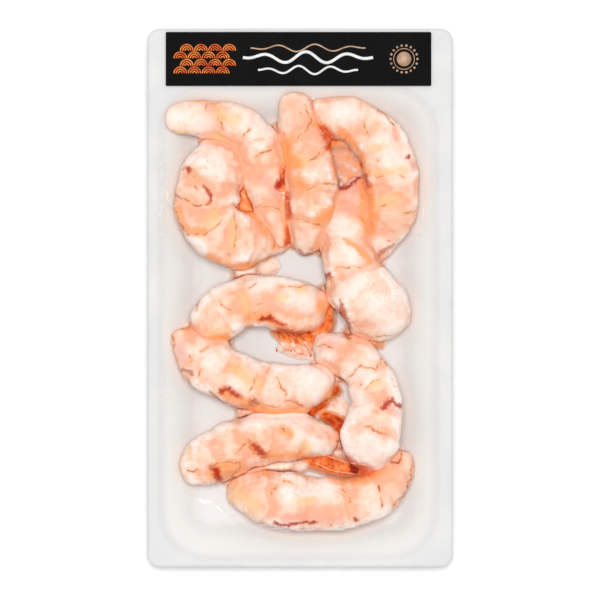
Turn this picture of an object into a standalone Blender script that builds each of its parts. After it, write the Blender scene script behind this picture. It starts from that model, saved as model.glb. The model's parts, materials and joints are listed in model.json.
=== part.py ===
"""Skin pack of raw peeled shrimps.

A shallow white tray holds ten curled shrimps in its well. A clear film is drawn down over them and
sealed to the rim, and a label lies on the wide rim at the head of the pack.

Metres, +Z up, +Y towards the label, +X to its right, origin on the ground under the pack's middle.
"""

import bisect
import math

import bmesh
import bpy
import numpy as np
from mathutils import Vector
from mathutils.bvhtree import BVHTree

MM = 0.001
OBJECT_NAME = "shrimp_skin_pack"

# Gap between pieces that touch in the real pack
GAP = 0.3 * MM

# Tray: outline, rim, well and wall
PACK_WIDTH = 122.0 * MM
PACK_LENGTH = 215.4 * MM
PACK_CORNER = 4.8 * MM
SHEET = 0.8 * MM
RIM_TOP = 9.8 * MM
LIP_DROP = 1.8 * MM
LIP_ROUND = 0.6 * MM
WELL_WIDTH = 110.0 * MM
WELL_LENGTH = 188.4 * MM
WELL_CENTRE = (-0.6 * MM, -9.8 * MM)
WELL_CORNER = 19.0 * MM
WALL_RUN = 12.8 * MM
WALL_FOOT = 2.0 * MM
CORNER_STEPS = 5

# Film: the cells of its grid, how far from the rim's edge it ends, its steepest fall, and the samples
# and rounds that lay it over what is under it
FILM_THICKNESS = 0.25 * MM
FILM_CELL = 4.8 * MM
FILM_HEAD_CELL = 2.6 * MM
FILM_MARGIN = 0.4 * MM
FILM_STEEPEST = math.radians(62)
DRAPE_SAMPLE = 1.0 * MM
DRAPE_EASED_ROUNDS = 30
DRAPE_FINAL_ROUNDS = 30
DRAPE_LEAST_HOLD = 0.1
LOOK_DOWN_FROM = 200.0 * MM
FILM_TENT_ROUNDS = 14
FILM_SMOOTH_ROUNDS = 12
FILM_EASE = 0.12

# Label on the head of the pack
LABEL_WIDTH = 106.2 * MM
LABEL_LENGTH = 21.6 * MM
LABEL_THICKNESS = 0.25 * MM
LABEL_CENTRE = (-0.6 * MM, 95.6 * MM)
LABEL_CORNER = 0.5 * MM

# Shrimp body: share of its height to its width, its segments and the cage that the surface follows
HEIGHT_TO_WIDTH = 0.82
FLAT_BELOW = 0.80
PATH_STEPS = 12
TANGENT_REACH = 0.02
SEGMENTS = 5
SEGMENT_SWELL = 0.11
SEGMENT_LAP = 0.16
RING_SIDES = 8
END_REACH = 0.25
CAGE_SWELL = 1.08
BELLY_THINNING = 0.16
WALL_RIDE = 0.6
SUBDIVISIONS = 1

# Each shrimp from head to tail, in millimetres: x, y, half of the body's width, lift above the tray.
# The belly lies to the left (1) or right (-1) of that path.
SHRIMPS = {
    "shrimp_arc": (
        -1,
        (
            (-54.0, 72.4, 4.3, 0.0),
            (-48.8, 72.0, 6.8, 0.0),
            (-38.0, 72.0, 7.7, 0.0),
            (-28.0, 71.2, 8.3, 0.0),
            (-20.4, 66.8, 8.8, 0.0),
            (-16.0, 59.2, 9.2, 0.0),
            (-14.8, 50.4, 9.0, 0.3),
            (-13.2, 41.2, 7.5, 1.0),
            (-11.2, 33.2, 5.8, 2.2),
            (-8.8, 26.4, 4.1, 3.6),
            (-6.4, 20.4, 1.7, 5.0),
        ),
    ),
    "shrimp_coil": (
        1,
        (
            (-31.6, 62.4, 6.4, 0.0),
            (-33.2, 54.4, 12.0, 0.0),
            (-37.2, 44.0, 13.3, 0.0),
            (-37.6, 34.4, 13.3, 0.0),
            (-32.4, 25.6, 12.4, 0.0),
            (-24.0, 22.8, 12.4, 0.0),
            (-15.2, 22.0, 8.6, 0.0),
            (-8.4, 22.0, 4.7, 0.0),
            (-4.0, 22.4, 2.1, 0.0),
        ),
    ),
    "shrimp_upright": (
        1,
        (
            (-2.8, 82.4, 5.1, 0.0),
            (-1.6, 75.2, 8.3, 0.0),
            (0.8, 67.2, 8.8, 0.0),
            (3.6, 58.4, 9.4, 0.4),
            (5.2, 48.0, 10.3, 1.0),
            (4.4, 38.0, 10.3, 1.2),
            (3.2, 29.2, 8.6, 1.0),
            (2.4, 22.0, 5.6, 0.8),
            (2.0, 16.8, 2.6, 0.6),
        ),
    ),
    "shrimp_hook": (
        -1,
        (
            (3.6, 74.4, 5.1, 1.2),
            (8.8, 73.6, 7.7, 1.2),
            (17.2, 72.8, 8.8, 0.6),
            (26.0, 68.8, 10.3, 0.0),
            (32.8, 62.0, 11.1, 0.0),
            (36.4, 52.0, 11.1, 0.0),
            (37.6, 42.0, 11.1, 0.0),
            (36.4, 32.4, 10.7, 0.0),
            (33.6, 24.0, 7.7, 0.0),
            (30.4, 17.6, 4.3, 0.0),
            (28.4, 12.8, 1.7, 0.0),
        ),
    ),
    "shrimp_middle": (
        1,
        (
            (40.0, -14.0, 6.8, 0.0),
            (34.4, -7.6, 12.4, 0.0),
            (27.6, -0.4, 14.1, 0.0),
            (21.6, 8.8, 12.4, 0.0),
            (18.8, 17.6, 10.7, 0.0),
            (18.4, 26.4, 9.4, 0.0),
            (20.0, 36.0, 7.7, 0.0),
            (22.4, 43.2, 5.4, 0.0),
            (24.0, 48.4, 2.6, 0.0),
        ),
    ),
    "shrimp_shelf": (
        1,
        (
            (10.8, -5.6, 5.6, 0.4),
            (4.8, -4.4, 9.8, 0.4),
            (-4.0, -3.2, 11.6, 0.4),
            (-13.6, -1.2, 10.7, 0.6),
            (-22.4, -2.0, 10.3, 1.0),
            (-31.2, -6.0, 11.1, 1.6),
            (-37.6, -10.8, 8.6, 2.4),
            (-42.4, -14.0, 3.9, 3.0),
        ),
    ),
    "shrimp_cradle": (
        -1,
        (
            (13.6, -33.6, 4.7, 0.0),
            (8.0, -34.8, 8.6, 0.0),
            (-0.8, -36.0, 9.8, 0.0),
            (-11.2, -36.0, 9.8, 0.0),
            (-21.2, -34.0, 10.7, 0.0),
            (-31.2, -30.0, 11.1, 0.0),
            (-40.0, -24.0, 11.1, 0.0),
            (-44.8, -17.6, 8.6, 0.0),
            (-45.6, -11.2, 4.7, 0.0),
        ),
    ),
    "shrimp_elbow": (
        1,
        (
            (24.8, -68.0, 5.6, 4.4),
            (26.8, -60.8, 12.2, 4.0),
            (28.4, -54.0, 12.8, 3.0),
            (30.8, -44.0, 10.9, 1.4),
            (29.6, -36.0, 10.5, 0.4),
            (26.0, -28.4, 9.4, 0.0),
            (18.4, -22.4, 8.6, 0.0),
            (10.8, -20.0, 6.8, 0.0),
            (4.8, -19.6, 3.9, 0.0),
        ),
    ),
    "shrimp_low": (
        -1,
        (
            (-47.2, -70.8, 4.3, 0.0),
            (-42.4, -68.0, 8.6, 0.0),
            (-35.2, -64.0, 10.7, 0.0),
            (-26.4, -59.2, 10.7, 0.0),
            (-16.8, -56.8, 9.8, 0.0),
            (-6.8, -55.6, 9.4, 0.0),
            (2.4, -55.6, 9.2, 0.0),
            (9.6, -56.8, 7.3, 0.0),
            (15.2, -59.2, 3.4, 0.0),
        ),
    ),
    "shrimp_base": (
        1,
        (
            (-29.6, -77.6, 3.4, 0.0),
            (-24.0, -78.4, 7.3, 0.0),
            (-15.2, -80.0, 10.7, 0.0),
            (-4.0, -81.2, 12.0, 0.0),
            (6.4, -82.4, 11.1, 0.0),
            (16.8, -82.4, 10.7, 0.0),
            (26.4, -80.4, 10.5, 0.0),
            (34.8, -74.4, 10.3, 0.0),
            (39.6, -67.2, 7.7, 0.0),
            (42.0, -60.8, 3.4, 0.0),
        ),
    ),
}

# Where two shrimps press together, the first keeps its form and the second is cut round it
PRESSED = (
    ("shrimp_arc", "shrimp_coil"),
    ("shrimp_arc", "shrimp_upright"),
    ("shrimp_upright", "shrimp_hook"),
    ("shrimp_upright", "shrimp_middle"),
    ("shrimp_hook", "shrimp_middle"),
    ("shrimp_shelf", "shrimp_middle"),
    ("shrimp_shelf", "shrimp_cradle"),
    ("shrimp_elbow", "shrimp_middle"),
    ("shrimp_elbow", "shrimp_cradle"),
    ("shrimp_elbow", "shrimp_low"),
    ("shrimp_elbow", "shrimp_base"),
    ("shrimp_cradle", "shrimp_low"),
    ("shrimp_low", "shrimp_base"),
)

WHITE_PLASTIC = ((0.84, 0.84, 0.82), 0.38)
RAW_FLESH = ((0.93, 0.68, 0.55), 0.35)
CLEAR_FILM = ((0.95, 0.95, 0.94), 0.08)
BLACK_CARD = ((0.012, 0.011, 0.012), 0.45)


def clear_scene():
    for item in list(bpy.data.objects):
        bpy.data.objects.remove(item, do_unlink=True)


def new_collection(name):
    group = bpy.data.collections.new(name)
    bpy.context.scene.collection.children.link(group)
    return group


def material(name, finish):
    """A Principled material from a colour and a roughness."""
    colour, roughness = finish
    made = bpy.data.materials.new(name)
    made.use_nodes = True
    shader = made.node_tree.nodes["Principled BSDF"]
    shader.inputs["Base Color"].default_value = (*colour, 1.0)
    shader.inputs["Roughness"].default_value = roughness
    shader.inputs["Metallic"].default_value = 0.0
    return made


def mesh_object(name, work, group, finish=None):
    """An object in the group from a bmesh, which is freed. The faces of an open sheet point up."""
    bmesh.ops.recalc_face_normals(work, faces=work.faces)
    work.normal_update()
    is_sheet = any(edge.is_boundary for edge in work.edges)
    if is_sheet and sum(face.normal.z * face.calc_area() for face in work.faces) < 0:
        bmesh.ops.reverse_faces(work, faces=work.faces)
    mesh = bpy.data.meshes.new(name)
    work.to_mesh(mesh)
    work.free()
    made = bpy.data.objects.new(name, mesh)
    group.objects.link(made)
    if finish:
        mesh.materials.append(finish)
    return made


def rounded_outline(width, length, corner, centre, z):
    """The points of a rectangle with round corners, anticlockwise."""
    points = []
    for quarter, (side_x, side_y) in enumerate(((1, 1), (-1, 1), (-1, -1), (1, -1))):
        hub_x = centre[0] + side_x * (width / 2 - corner)
        hub_y = centre[1] + side_y * (length / 2 - corner)
        for step in range(CORNER_STEPS + 1):
            angle = (quarter + step / CORNER_STEPS) * math.pi / 2
            points.append((hub_x + corner * math.cos(angle), hub_y + corner * math.sin(angle), z))
    return points


def well_profile():
    """The wall's top surface as distances in from the well's edge and heights."""
    fall = (RIM_TOP - SHEET) / WALL_RUN
    return (
        (0.0, RIM_TOP),
        (WALL_RUN - WALL_FOOT, RIM_TOP - fall * (WALL_RUN - WALL_FOOT)),
        (WALL_RUN + WALL_FOOT / 2, SHEET),
    )


def tray_top(x, y):
    """The height of the tray's top surface inside the well and on the rim."""
    out_x = abs(x - WELL_CENTRE[0]) - (WELL_WIDTH / 2 - WELL_CORNER)
    out_y = abs(y - WELL_CENTRE[1]) - (WELL_LENGTH / 2 - WELL_CORNER)
    beyond = math.hypot(max(out_x, 0.0), max(out_y, 0.0)) + min(max(out_x, out_y), 0.0)
    inside = WELL_CORNER - beyond
    distances, heights = zip(*well_profile())
    return float(np.interp(inside, distances, heights))


def bridge(work, lower, upper):
    """Faces between two closed loops of as many vertices."""
    count = len(lower)
    for i in range(count):
        j = (i + 1) % count
        work.faces.new((lower[i], lower[j], upper[j], upper[i]))


def make_tray(group):
    """A formed sheet: a lip turned down round the rim, a sloping wall and a flat floor."""
    outlines = [
        rounded_outline(PACK_WIDTH, PACK_LENGTH, PACK_CORNER, (0, 0), RIM_TOP - LIP_DROP),
        rounded_outline(PACK_WIDTH, PACK_LENGTH, PACK_CORNER, (0, 0), RIM_TOP - LIP_ROUND),
        rounded_outline(
            PACK_WIDTH - 2 * LIP_ROUND,
            PACK_LENGTH - 2 * LIP_ROUND,
            PACK_CORNER - LIP_ROUND,
            (0, 0),
            RIM_TOP,
        ),
    ]
    for inside, height in well_profile():
        outlines.append(
            rounded_outline(
                WELL_WIDTH - 2 * inside,
                WELL_LENGTH - 2 * inside,
                WELL_CORNER - inside,
                WELL_CENTRE,
                height,
            )
        )
    work = bmesh.new()
    loops = [[work.verts.new(point) for point in outline] for outline in outlines]
    for outer, inner in zip(loops, loops[1:]):
        bridge(work, outer, inner)
    work.faces.new(loops[-1])
    tray = mesh_object("tray", work, group, material("white_plastic", WHITE_PLASTIC))
    wall = tray.modifiers.new("sheet", "SOLIDIFY")
    wall.thickness = SHEET
    wall.offset = -1.0
    wall.use_even_offset = False
    return tray


def spline_value(before, start, end, after, share):
    """A Catmull-Rom value between start and end."""
    slope_in = (end - before) / 2
    slope_out = (after - start) / 2
    cubic = 2 * start - 2 * end + slope_in + slope_out
    square = -3 * start + 3 * end - 2 * slope_in - slope_out
    return ((cubic * share + square) * share + slope_in) * share + start


def smooth_path(stations):
    """A curve through the stations, as many points closely spaced."""
    knots = [np.array(s) for s in stations]
    knots = [2 * knots[0] - knots[1], *knots, 2 * knots[-1] - knots[-2]]
    path = []
    for i in range(1, len(knots) - 2):
        for step in range(PATH_STEPS):
            path.append(spline_value(*knots[i - 1 : i + 3], step / PATH_STEPS))
    path.append(knots[-2])
    return np.array(path)


def even_points(path, shares):
    """Points of the path at shares of its length in plan."""
    steps = np.hypot(*np.diff(path[:, :2], axis=0).T)
    along = np.concatenate(([0.0], np.cumsum(steps)))
    wanted = np.array(shares) * along[-1]
    return np.stack([np.interp(wanted, along, path[:, k]) for k in range(path.shape[1])], axis=1)


def ring_places(length, head_width, tail_width):
    """Where the cage's rings stand, as shares of the body's length, and how far each one swells.

    A ring stands on each tip. Each segment has a narrow ring behind its front edge and a wide one
    before its rear edge, so that it laps over the next segment.
    """
    first = END_REACH * head_width / length
    last = 1.0 - END_REACH * tail_width / length
    step = (last - first) / SEGMENTS
    places = [(0.0, 1.0)]
    for segment in range(SEGMENTS):
        front = first + segment * step
        places.append((front + SEGMENT_LAP * step, 1.0 - SEGMENT_SWELL))
        places.append((front + (1.0 - SEGMENT_LAP) * step, 1.0 + SEGMENT_SWELL))
    places.append((1.0, 1.0))
    return places


def body_ring(work, centre, side, half_width, belly, swell, grow):
    """One ring of the cage across the body: round above, flat below, thinner towards the belly."""
    width = half_width * swell * CAGE_SWELL + grow
    height = half_width * HEIGHT_TO_WIDTH * swell * CAGE_SWELL + grow
    ring = []
    for step in range(RING_SIDES):
        angle = 2 * math.pi * (step + 0.5) / RING_SIDES
        across = math.cos(angle)
        up = max(math.sin(angle), -FLAT_BELOW)
        thinner = 1.0 - BELLY_THINNING * max(0.0, belly * across)
        x = centre[0] + side[0] * across * width
        y = centre[1] + side[1] * across * width
        lowest = tray_top(x, y) + GAP
        z = max(centre[2] + up * height * thinner, lowest)
        ring.append(work.verts.new((x, y, z)))
    return ring


def body_cage(belly, stations, grow=0.0):
    """The coarse cage of one shrimp; grow makes it larger all round, for a cutter."""
    path = smooth_path([(x * MM, y * MM, w * MM, lift * MM) for x, y, w, lift in stations])
    length = float(np.hypot(*np.diff(path[:, :2], axis=0).T).sum())
    places = ring_places(length, stations[1][2] * MM, stations[-2][2] * MM)
    shares = [share for share, swell in places]
    points = even_points(path, shares)
    ahead = even_points(path, [min(1.0, s + TANGENT_REACH) for s in shares])
    behind = even_points(path, [max(0.0, s - TANGENT_REACH) for s in shares])
    work = bmesh.new()
    rings = []
    for i, (x, y, half_width, lift) in enumerate(points):
        tangent = (ahead[i] - behind[i])[:2]
        tangent = tangent / np.hypot(*tangent)
        side = (-tangent[1], tangent[0])
        ride = SHEET + WALL_RIDE * (tray_top(x, y) - SHEET)
        middle = ride + GAP + lift + half_width * HEIGHT_TO_WIDTH * FLAT_BELOW
        swell = places[i][1]
        rings.append(body_ring(work, (x, y, middle), side, half_width, belly, swell, grow))
    for first, second in zip(rings, rings[1:]):
        bridge(work, first, second)
    work.faces.new(rings[0])
    work.faces.new(rings[-1])
    return work


def subdivide(item):
    smooth = item.modifiers.new("smooth", "SUBSURF")
    smooth.levels = SUBDIVISIONS
    smooth.render_levels = SUBDIVISIONS


def make_shrimps(group, cutters):
    """Every shrimp, each cut clear of those that press on it."""
    flesh = material("raw_flesh", RAW_FLESH)
    made = {}
    for name, (belly, stations) in SHRIMPS.items():
        made[name] = mesh_object(name, body_cage(belly, stations), group, flesh)
        subdivide(made[name])
    grown = {}
    for name in dict.fromkeys(upper for upper, lower in PRESSED):
        cutter = mesh_object(name + "_room", body_cage(*SHRIMPS[name], grow=GAP), cutters)
        subdivide(cutter)
        cutter.hide_render = True
        cutter.display_type = "WIRE"
        grown[name] = cutter
    for upper, lower in PRESSED:
        cut = made[lower].modifiers.new("room_for_" + upper, "BOOLEAN")
        cut.operation = "DIFFERENCE"
        cut.object = grown[upper]
    return list(made.values())


def evaluated_tree(items):
    """A search tree over the items' surfaces as their modifiers leave them."""
    bpy.context.view_layer.update()
    graph = bpy.context.evaluated_depsgraph_get()
    points, faces = [], []
    for item in items:
        shape = item.evaluated_get(graph)
        mesh = shape.to_mesh()
        mesh.calc_loop_triangles()
        start = len(points)
        points.extend(item.matrix_world @ v.co for v in mesh.vertices)
        faces.extend([start + i for i in t.vertices] for t in mesh.loop_triangles)
        shape.to_mesh_clear()
    return BVHTree.FromPolygons(points, faces)


def top_surface(tree, xs, ys):
    """The highest surface under each point of a grid, of the shrimps or else of the tray."""
    heights = np.empty((len(xs), len(ys)))
    for i, x in enumerate(xs):
        for j, y in enumerate(ys):
            hit = tree.ray_cast(Vector((x, y, LOOK_DOWN_FROM)), Vector((0, 0, -1)))[0]
            heights[i, j] = max(tray_top(x, y), hit.z if hit else 0.0)
    return heights


def film_lines(edge, inner_low, inner_high, *beyond):
    """Grid lines across the pack: one cell on each side's sealed rim, and even cells between."""
    cells = round((inner_high - inner_low) / FILM_CELL)
    return [-edge, *np.linspace(inner_low, inner_high, cells + 1), *beyond, edge]


def cell_of(lines, value):
    """The grid cell that holds the value, and how far across it the value lies."""
    cell = min(max(bisect.bisect_right(lines, value) - 1, 0), len(lines) - 2)
    return cell, (value - lines[cell]) / (lines[cell + 1] - lines[cell])


def widened(surface):
    """Each sample raised to its highest neighbour, so that nothing between samples is missed."""
    wide = surface.copy()
    wide[1:] = np.maximum(wide[1:], surface[:-1])
    wide[:-1] = np.maximum(wide[:-1], surface[1:])
    wider = wide.copy()
    wider[:, 1:] = np.maximum(wider[:, 1:], wide[:, :-1])
    wider[:, :-1] = np.maximum(wider[:, :-1], wide[:, 1:])
    return wider


def tensioned(floor):
    """The film over a sampled surface: no steeper than it can fall, and drawn smooth in hollows."""
    hung = floor.copy()
    fall = math.tan(FILM_STEEPEST) * DRAPE_SAMPLE
    for _ in range(FILM_TENT_ROUNDS):
        hung[1:] = np.maximum(hung[1:], hung[:-1] - fall)
        hung[:-1] = np.maximum(hung[:-1], hung[1:] - fall)
        hung[:, 1:] = np.maximum(hung[:, 1:], hung[:, :-1] - fall)
        hung[:, :-1] = np.maximum(hung[:, :-1], hung[:, 1:] - fall)
    for _ in range(FILM_SMOOTH_ROUNDS):
        mean = (hung[2:, 1:-1] + hung[:-2, 1:-1] + hung[1:-1, 2:] + hung[1:-1, :-2]) / 4
        hung[1:-1, 1:-1] = np.maximum(floor[1:-1, 1:-1], mean)
    return hung


def eased(heights, loose):
    """The grid's heights drawn a little towards the mean of their neighbours, where it is loose."""
    mean = heights.copy()
    across = heights[2:, 1:-1] + heights[:-2, 1:-1]
    along = heights[1:-1, 2:] + heights[1:-1, :-2]
    mean[1:-1, 1:-1] = (across + along) / 4
    return heights + FILM_EASE * loose * (mean - heights)


def sample_weights(xs, ys, sample_x, sample_y):
    """For each sample the three grid corners of the triangle over it, with their weights."""
    cell_x, part_x = (np.array(v)[:, None] for v in zip(*(cell_of(xs, x) for x in sample_x)))
    cell_y, part_y = (np.array(v)[None, :] for v in zip(*(cell_of(ys, y) for y in sample_y)))
    upper = part_x + part_y > 1.0
    square_corner = np.where(upper, part_x + part_y - 1.0, 1.0 - part_x - part_y)
    return (
        (cell_x + upper, cell_y + upper, square_corner),
        (cell_x + 1, cell_y, np.where(upper, 1.0 - part_y, part_x)),
        (cell_x, cell_y + 1, np.where(upper, 1.0 - part_x, part_y)),
    )


def highest_near(floor, xs, ys, sample_x, sample_y):
    """For each grid point the highest sample less than a cell away."""
    near = [slice(*np.searchsorted(sample_x, (x - FILM_CELL, x + FILM_CELL))) for x in xs]
    beside = [slice(*np.searchsorted(sample_y, (y - FILM_CELL, y + FILM_CELL))) for y in ys]
    return np.array([[floor[i, j].max() for j in beside] for i in near])


def raised(heights, floor, parts, hold, loose, highest):
    """The grid's loose points moved up by what its triangles fall short of the samples under them."""
    film = sum(heights[a, b] * w for a, b, w in parts)
    short = np.maximum(floor - film, 0.0)
    for a, b, w in parts:
        lift = np.zeros_like(heights)
        np.maximum.at(lift, tuple(np.broadcast_arrays(a, b)), short * w / hold)
        heights = np.minimum(heights + lift * loose, np.maximum(heights, highest))
    return heights


def drape(xs, ys, tree):
    """Heights of the film's grid: it rests on what is under it and falls no steeper than it can."""
    sample_x = np.arange(xs[0], xs[-1], DRAPE_SAMPLE)
    sample_y = np.arange(ys[0], ys[-1], DRAPE_SAMPLE)
    floor = widened(top_surface(tree, sample_x, sample_y)) + GAP
    hung = tensioned(floor)
    parts = sample_weights(xs, ys, sample_x, sample_y)
    highest = highest_near(floor, xs, ys, sample_x, sample_y)
    bare = np.array([[tray_top(x, y) + GAP for y in ys] for x in xs])
    loose = np.ones_like(bare)
    loose[[0, -1], :] = 0.0
    loose[:, [0, -2, -1]] = 0.0
    nearest_x = np.abs(np.subtract.outer(xs, sample_x)).argmin(axis=1)
    nearest_y = np.abs(np.subtract.outer(ys, sample_y)).argmin(axis=1)
    heights = np.where(loose > 0, hung[np.ix_(nearest_x, nearest_y)], bare)
    hold = np.maximum(sum(loose[a, b] * w * w for a, b, w in parts), DRAPE_LEAST_HOLD)
    for _ in range(DRAPE_EASED_ROUNDS):
        heights = raised(eased(heights, loose), floor, parts, hold, loose, highest)
    for _ in range(DRAPE_FINAL_ROUNDS):
        heights = raised(heights, floor, parts, hold, loose, highest)
    return heights


def make_film(group, shrimps):
    """The clear film: a grid laid over the shrimps and the rim, with the sheet's thickness added."""
    edge_x = PACK_WIDTH / 2 - FILM_MARGIN
    edge_y = PACK_LENGTH / 2 - FILM_MARGIN
    low_x = WELL_CENTRE[0] - WELL_WIDTH / 2
    low_y = WELL_CENTRE[1] - WELL_LENGTH / 2
    label_foot = LABEL_CENTRE[1] - LABEL_LENGTH / 2 - GAP
    xs = film_lines(edge_x, low_x, low_x + WELL_WIDTH)
    ys = film_lines(edge_y, low_y, label_foot - FILM_HEAD_CELL, label_foot)
    heights = drape(xs, ys, evaluated_tree(shrimps))
    work = bmesh.new()
    bmesh.ops.create_grid(work, x_segments=len(xs) - 1, y_segments=len(ys) - 1, size=1.0)
    for vert in work.verts:
        i = round((vert.co.x + 1) / 2 * (len(xs) - 1))
        j = round((vert.co.y + 1) / 2 * (len(ys) - 1))
        vert.co = (xs[i], ys[j], heights[i, j])
    corners = [v for v in work.verts if len(v.link_edges) == 2]
    bmesh.ops.bevel(work, geom=corners, offset=PACK_CORNER / 2, segments=1, affect="VERTICES")
    bmesh.ops.triangulate(work, faces=work.faces)
    film = mesh_object("film", work, group, material("clear_film", CLEAR_FILM))
    sheet = film.modifiers.new("sheet", "SOLIDIFY")
    sheet.thickness = FILM_THICKNESS
    sheet.offset = 1.0
    return film


def make_label(group):
    """A thin printed card on the film over the pack's head."""
    bottom = RIM_TOP + 2 * GAP + FILM_THICKNESS
    work = bmesh.new()
    outline = rounded_outline(LABEL_WIDTH, LABEL_LENGTH, LABEL_CORNER, LABEL_CENTRE, bottom)
    work.faces.new([work.verts.new(point) for point in outline])
    label = mesh_object("label", work, group, material("black_card", BLACK_CARD))
    card = label.modifiers.new("card", "SOLIDIFY")
    card.thickness = LABEL_THICKNESS
    card.offset = 1.0
    return label


def main():
    clear_scene()
    group = new_collection(OBJECT_NAME)
    cutters = new_collection(OBJECT_NAME + "_cutters")
    make_tray(group)
    shrimps = make_shrimps(group, cutters)
    make_film(group, shrimps)
    make_label(group)


main()
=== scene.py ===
"""Dresses the skin pack of raw peeled shrimps: wet flesh with its stains and segment lines, the juice
that stands in the crevices, the clear film drawn down over all of it, the formed white tray and the
printed card on the head of the pack.

Metres, +Z up, +Y towards the label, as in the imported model.
"""

import itertools
import json
import math

import bmesh
import bpy
import numpy as np
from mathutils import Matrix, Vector
from mathutils.bvhtree import BVHTree

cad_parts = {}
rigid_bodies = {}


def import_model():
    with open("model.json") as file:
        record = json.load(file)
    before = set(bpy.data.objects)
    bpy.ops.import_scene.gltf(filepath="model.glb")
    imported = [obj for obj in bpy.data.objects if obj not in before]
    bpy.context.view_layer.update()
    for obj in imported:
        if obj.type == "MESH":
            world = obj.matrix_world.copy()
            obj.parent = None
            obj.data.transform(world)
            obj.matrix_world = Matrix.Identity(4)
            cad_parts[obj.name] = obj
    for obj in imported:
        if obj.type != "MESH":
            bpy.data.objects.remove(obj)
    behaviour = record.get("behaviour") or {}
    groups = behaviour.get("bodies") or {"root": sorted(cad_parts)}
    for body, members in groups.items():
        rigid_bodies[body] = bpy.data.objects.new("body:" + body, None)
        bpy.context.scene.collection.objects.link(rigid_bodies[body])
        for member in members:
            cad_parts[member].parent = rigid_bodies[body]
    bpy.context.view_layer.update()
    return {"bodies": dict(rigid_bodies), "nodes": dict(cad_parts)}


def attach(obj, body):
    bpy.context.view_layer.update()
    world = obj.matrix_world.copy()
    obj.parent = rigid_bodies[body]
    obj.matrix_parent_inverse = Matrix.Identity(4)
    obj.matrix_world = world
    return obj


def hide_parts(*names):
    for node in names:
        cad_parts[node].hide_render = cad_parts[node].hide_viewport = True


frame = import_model()

MM = 0.001
BODY = next(iter(frame["bodies"]))

# Camera: straight down, from so far that the pack shows no side
FRAME_WIDTH = 240.0 * MM
FRAME_CENTRE = (0.0, -0.8 * MM)
FRAME_HEIGHT = 10.0 * MM
LENS = 1000.0
SENSOR = 36.0

# Tray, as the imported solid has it
PACK_WIDTH = 122.0 * MM
PACK_LENGTH = 215.4 * MM
PACK_CORNER = 4.8 * MM
SHEET = 0.8 * MM
RIM_TOP = 9.8 * MM
LIP_DROP = 1.8 * MM
WELL_WIDTH = 110.0 * MM
WELL_LENGTH = 188.4 * MM
WELL_CENTRE = (-0.6 * MM, -9.8 * MM)
WELL_CORNER = 19.0 * MM
WALL_RUN = 12.8 * MM
CORNER_STEPS = 14
LIP_ROUND = 0.9 * MM
EDGE_ROUND = 2.2 * MM
FOOT_ROUND = 5.0 * MM
WELL_START = 0.3
ROUND_STEPS = 5

# Film: its grid, its steepest fall, how it hangs between what holds it up, and its creases
FILM_CELL = 0.75 * MM
FILM_THICKNESS = 0.05 * MM
FILM_CLEARANCE = 0.14 * MM
FILM_MARGIN = 0.5 * MM
FILM_STEEPEST = math.radians(78)
FILM_TENT_ROUNDS = 16
FILM_SMOOTH_ROUNDS = 16
FILM_CRINKLE = 0.05 * MM
FILM_CRINKLE_SIZE = 2.6 * MM
FILM_CORNER_SLACK = 0.7 * FILM_CELL

# Card on the head of the pack, and the print on it
LABEL_CENTRE = (-0.6 * MM, 95.6 * MM)
LABEL_TOP = 10.9 * MM
INK = 0.03 * MM

# Flesh: the mesh over each packed shrimp, how far it swells towards its neighbours, and its relief
FLESH_VOXEL = 0.42 * MM
FLESH_SMOOTHING = 44
FLESH_SWELL = 0.42 * MM
NEIGHBOUR_REACH = 5.0 * MM
NEIGHBOUR_TOUCH = 0.10 * MM
PRESSED_OUT = 2.2 * MM
PRESSED_REACH = 2.0 * MM
SWELL_ROUNDS = 4
SEGMENTS = 5
BULGE_DEPTH = 0.34 * MM
GROOVE_DEPTH = 0.28 * MM
GROOVE_WIDTH = 0.8 * MM
GROOVE_BOW = 2.0 * MM
GROOVE_WANDER = 1.6 * MM
WANDER_SIZE = 6.0 * MM
UNEVEN_SIZE = 4.0 * MM
UNEVEN_LEAST = 0.6
UNEVEN_SWING = 0.4
LAPS_PER_SEGMENT = 3
STEP_DEPTH = 0.24 * MM
RIB_DEPTH = 0.08 * MM
RIB_PITCH = 2.3 * MM
RIB_WAVER = 2.5
BELLY_FROM = 0.1
BELLY_REACH = 0.6
# Lumps, dimples and pimples on it: depth, size and shift of the seed
RELIEF_NOISES = ((0.50 * MM, 5.5 * MM, 2), (0.24 * MM, 2.4 * MM, 4), (0.05 * MM, 1.1 * MM, 3))
THREAD_DEPTH = 0.22 * MM
THREAD_REACH = 1.3 * MM
RELIEF_UNIT = 0.6 * MM
PATH_STEPS = 14
END_REACH = 0.25
SIDE_LIMIT = 1.3

# Heights of what lies in the pack, on an even grid, and how open a point is to the light
MAP_CELL = 0.5 * MM
LOOK_DOWN_FROM = 200.0 * MM
OPEN_DIRECTIONS = 12
OPEN_REACH = 9.0 * MM
OPEN_STEPS = 10
OPEN_STEP_POWER = 1.4
GRID_GUARD = 1.001
CROWN_REACH = 4.0 * MM
CROWN_HEIGHT = 3.0 * MM

# Juice: how wide a crevice it bridges, how far up it stands there, and the grid's smoothing
CREVICE_ROUNDS = 5
CREVICE_LEAST = 1.6 * MM
CREVICE_FILL = 0.85
CREVICE_DEPTH = 0.20
JUICE_SMOOTH_ROUNDS = 6
DEEP_SMOOTH_ROUNDS = 3
JUICE_EDGE = 0.55
JUICE_SUNK = 0.30 * MM
JUICE_SHORE = 0.9 * JUICE_SUNK
JUICE_HIDDEN = 2 * MAP_CELL
POOL_DEEPENING = 2.0
JUICE_FOOT = 0.55 * MM
JUICE_INTO_FLESH = 4
SOAK_REACH = 3
SOAK_ROUNDS = 10

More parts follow.
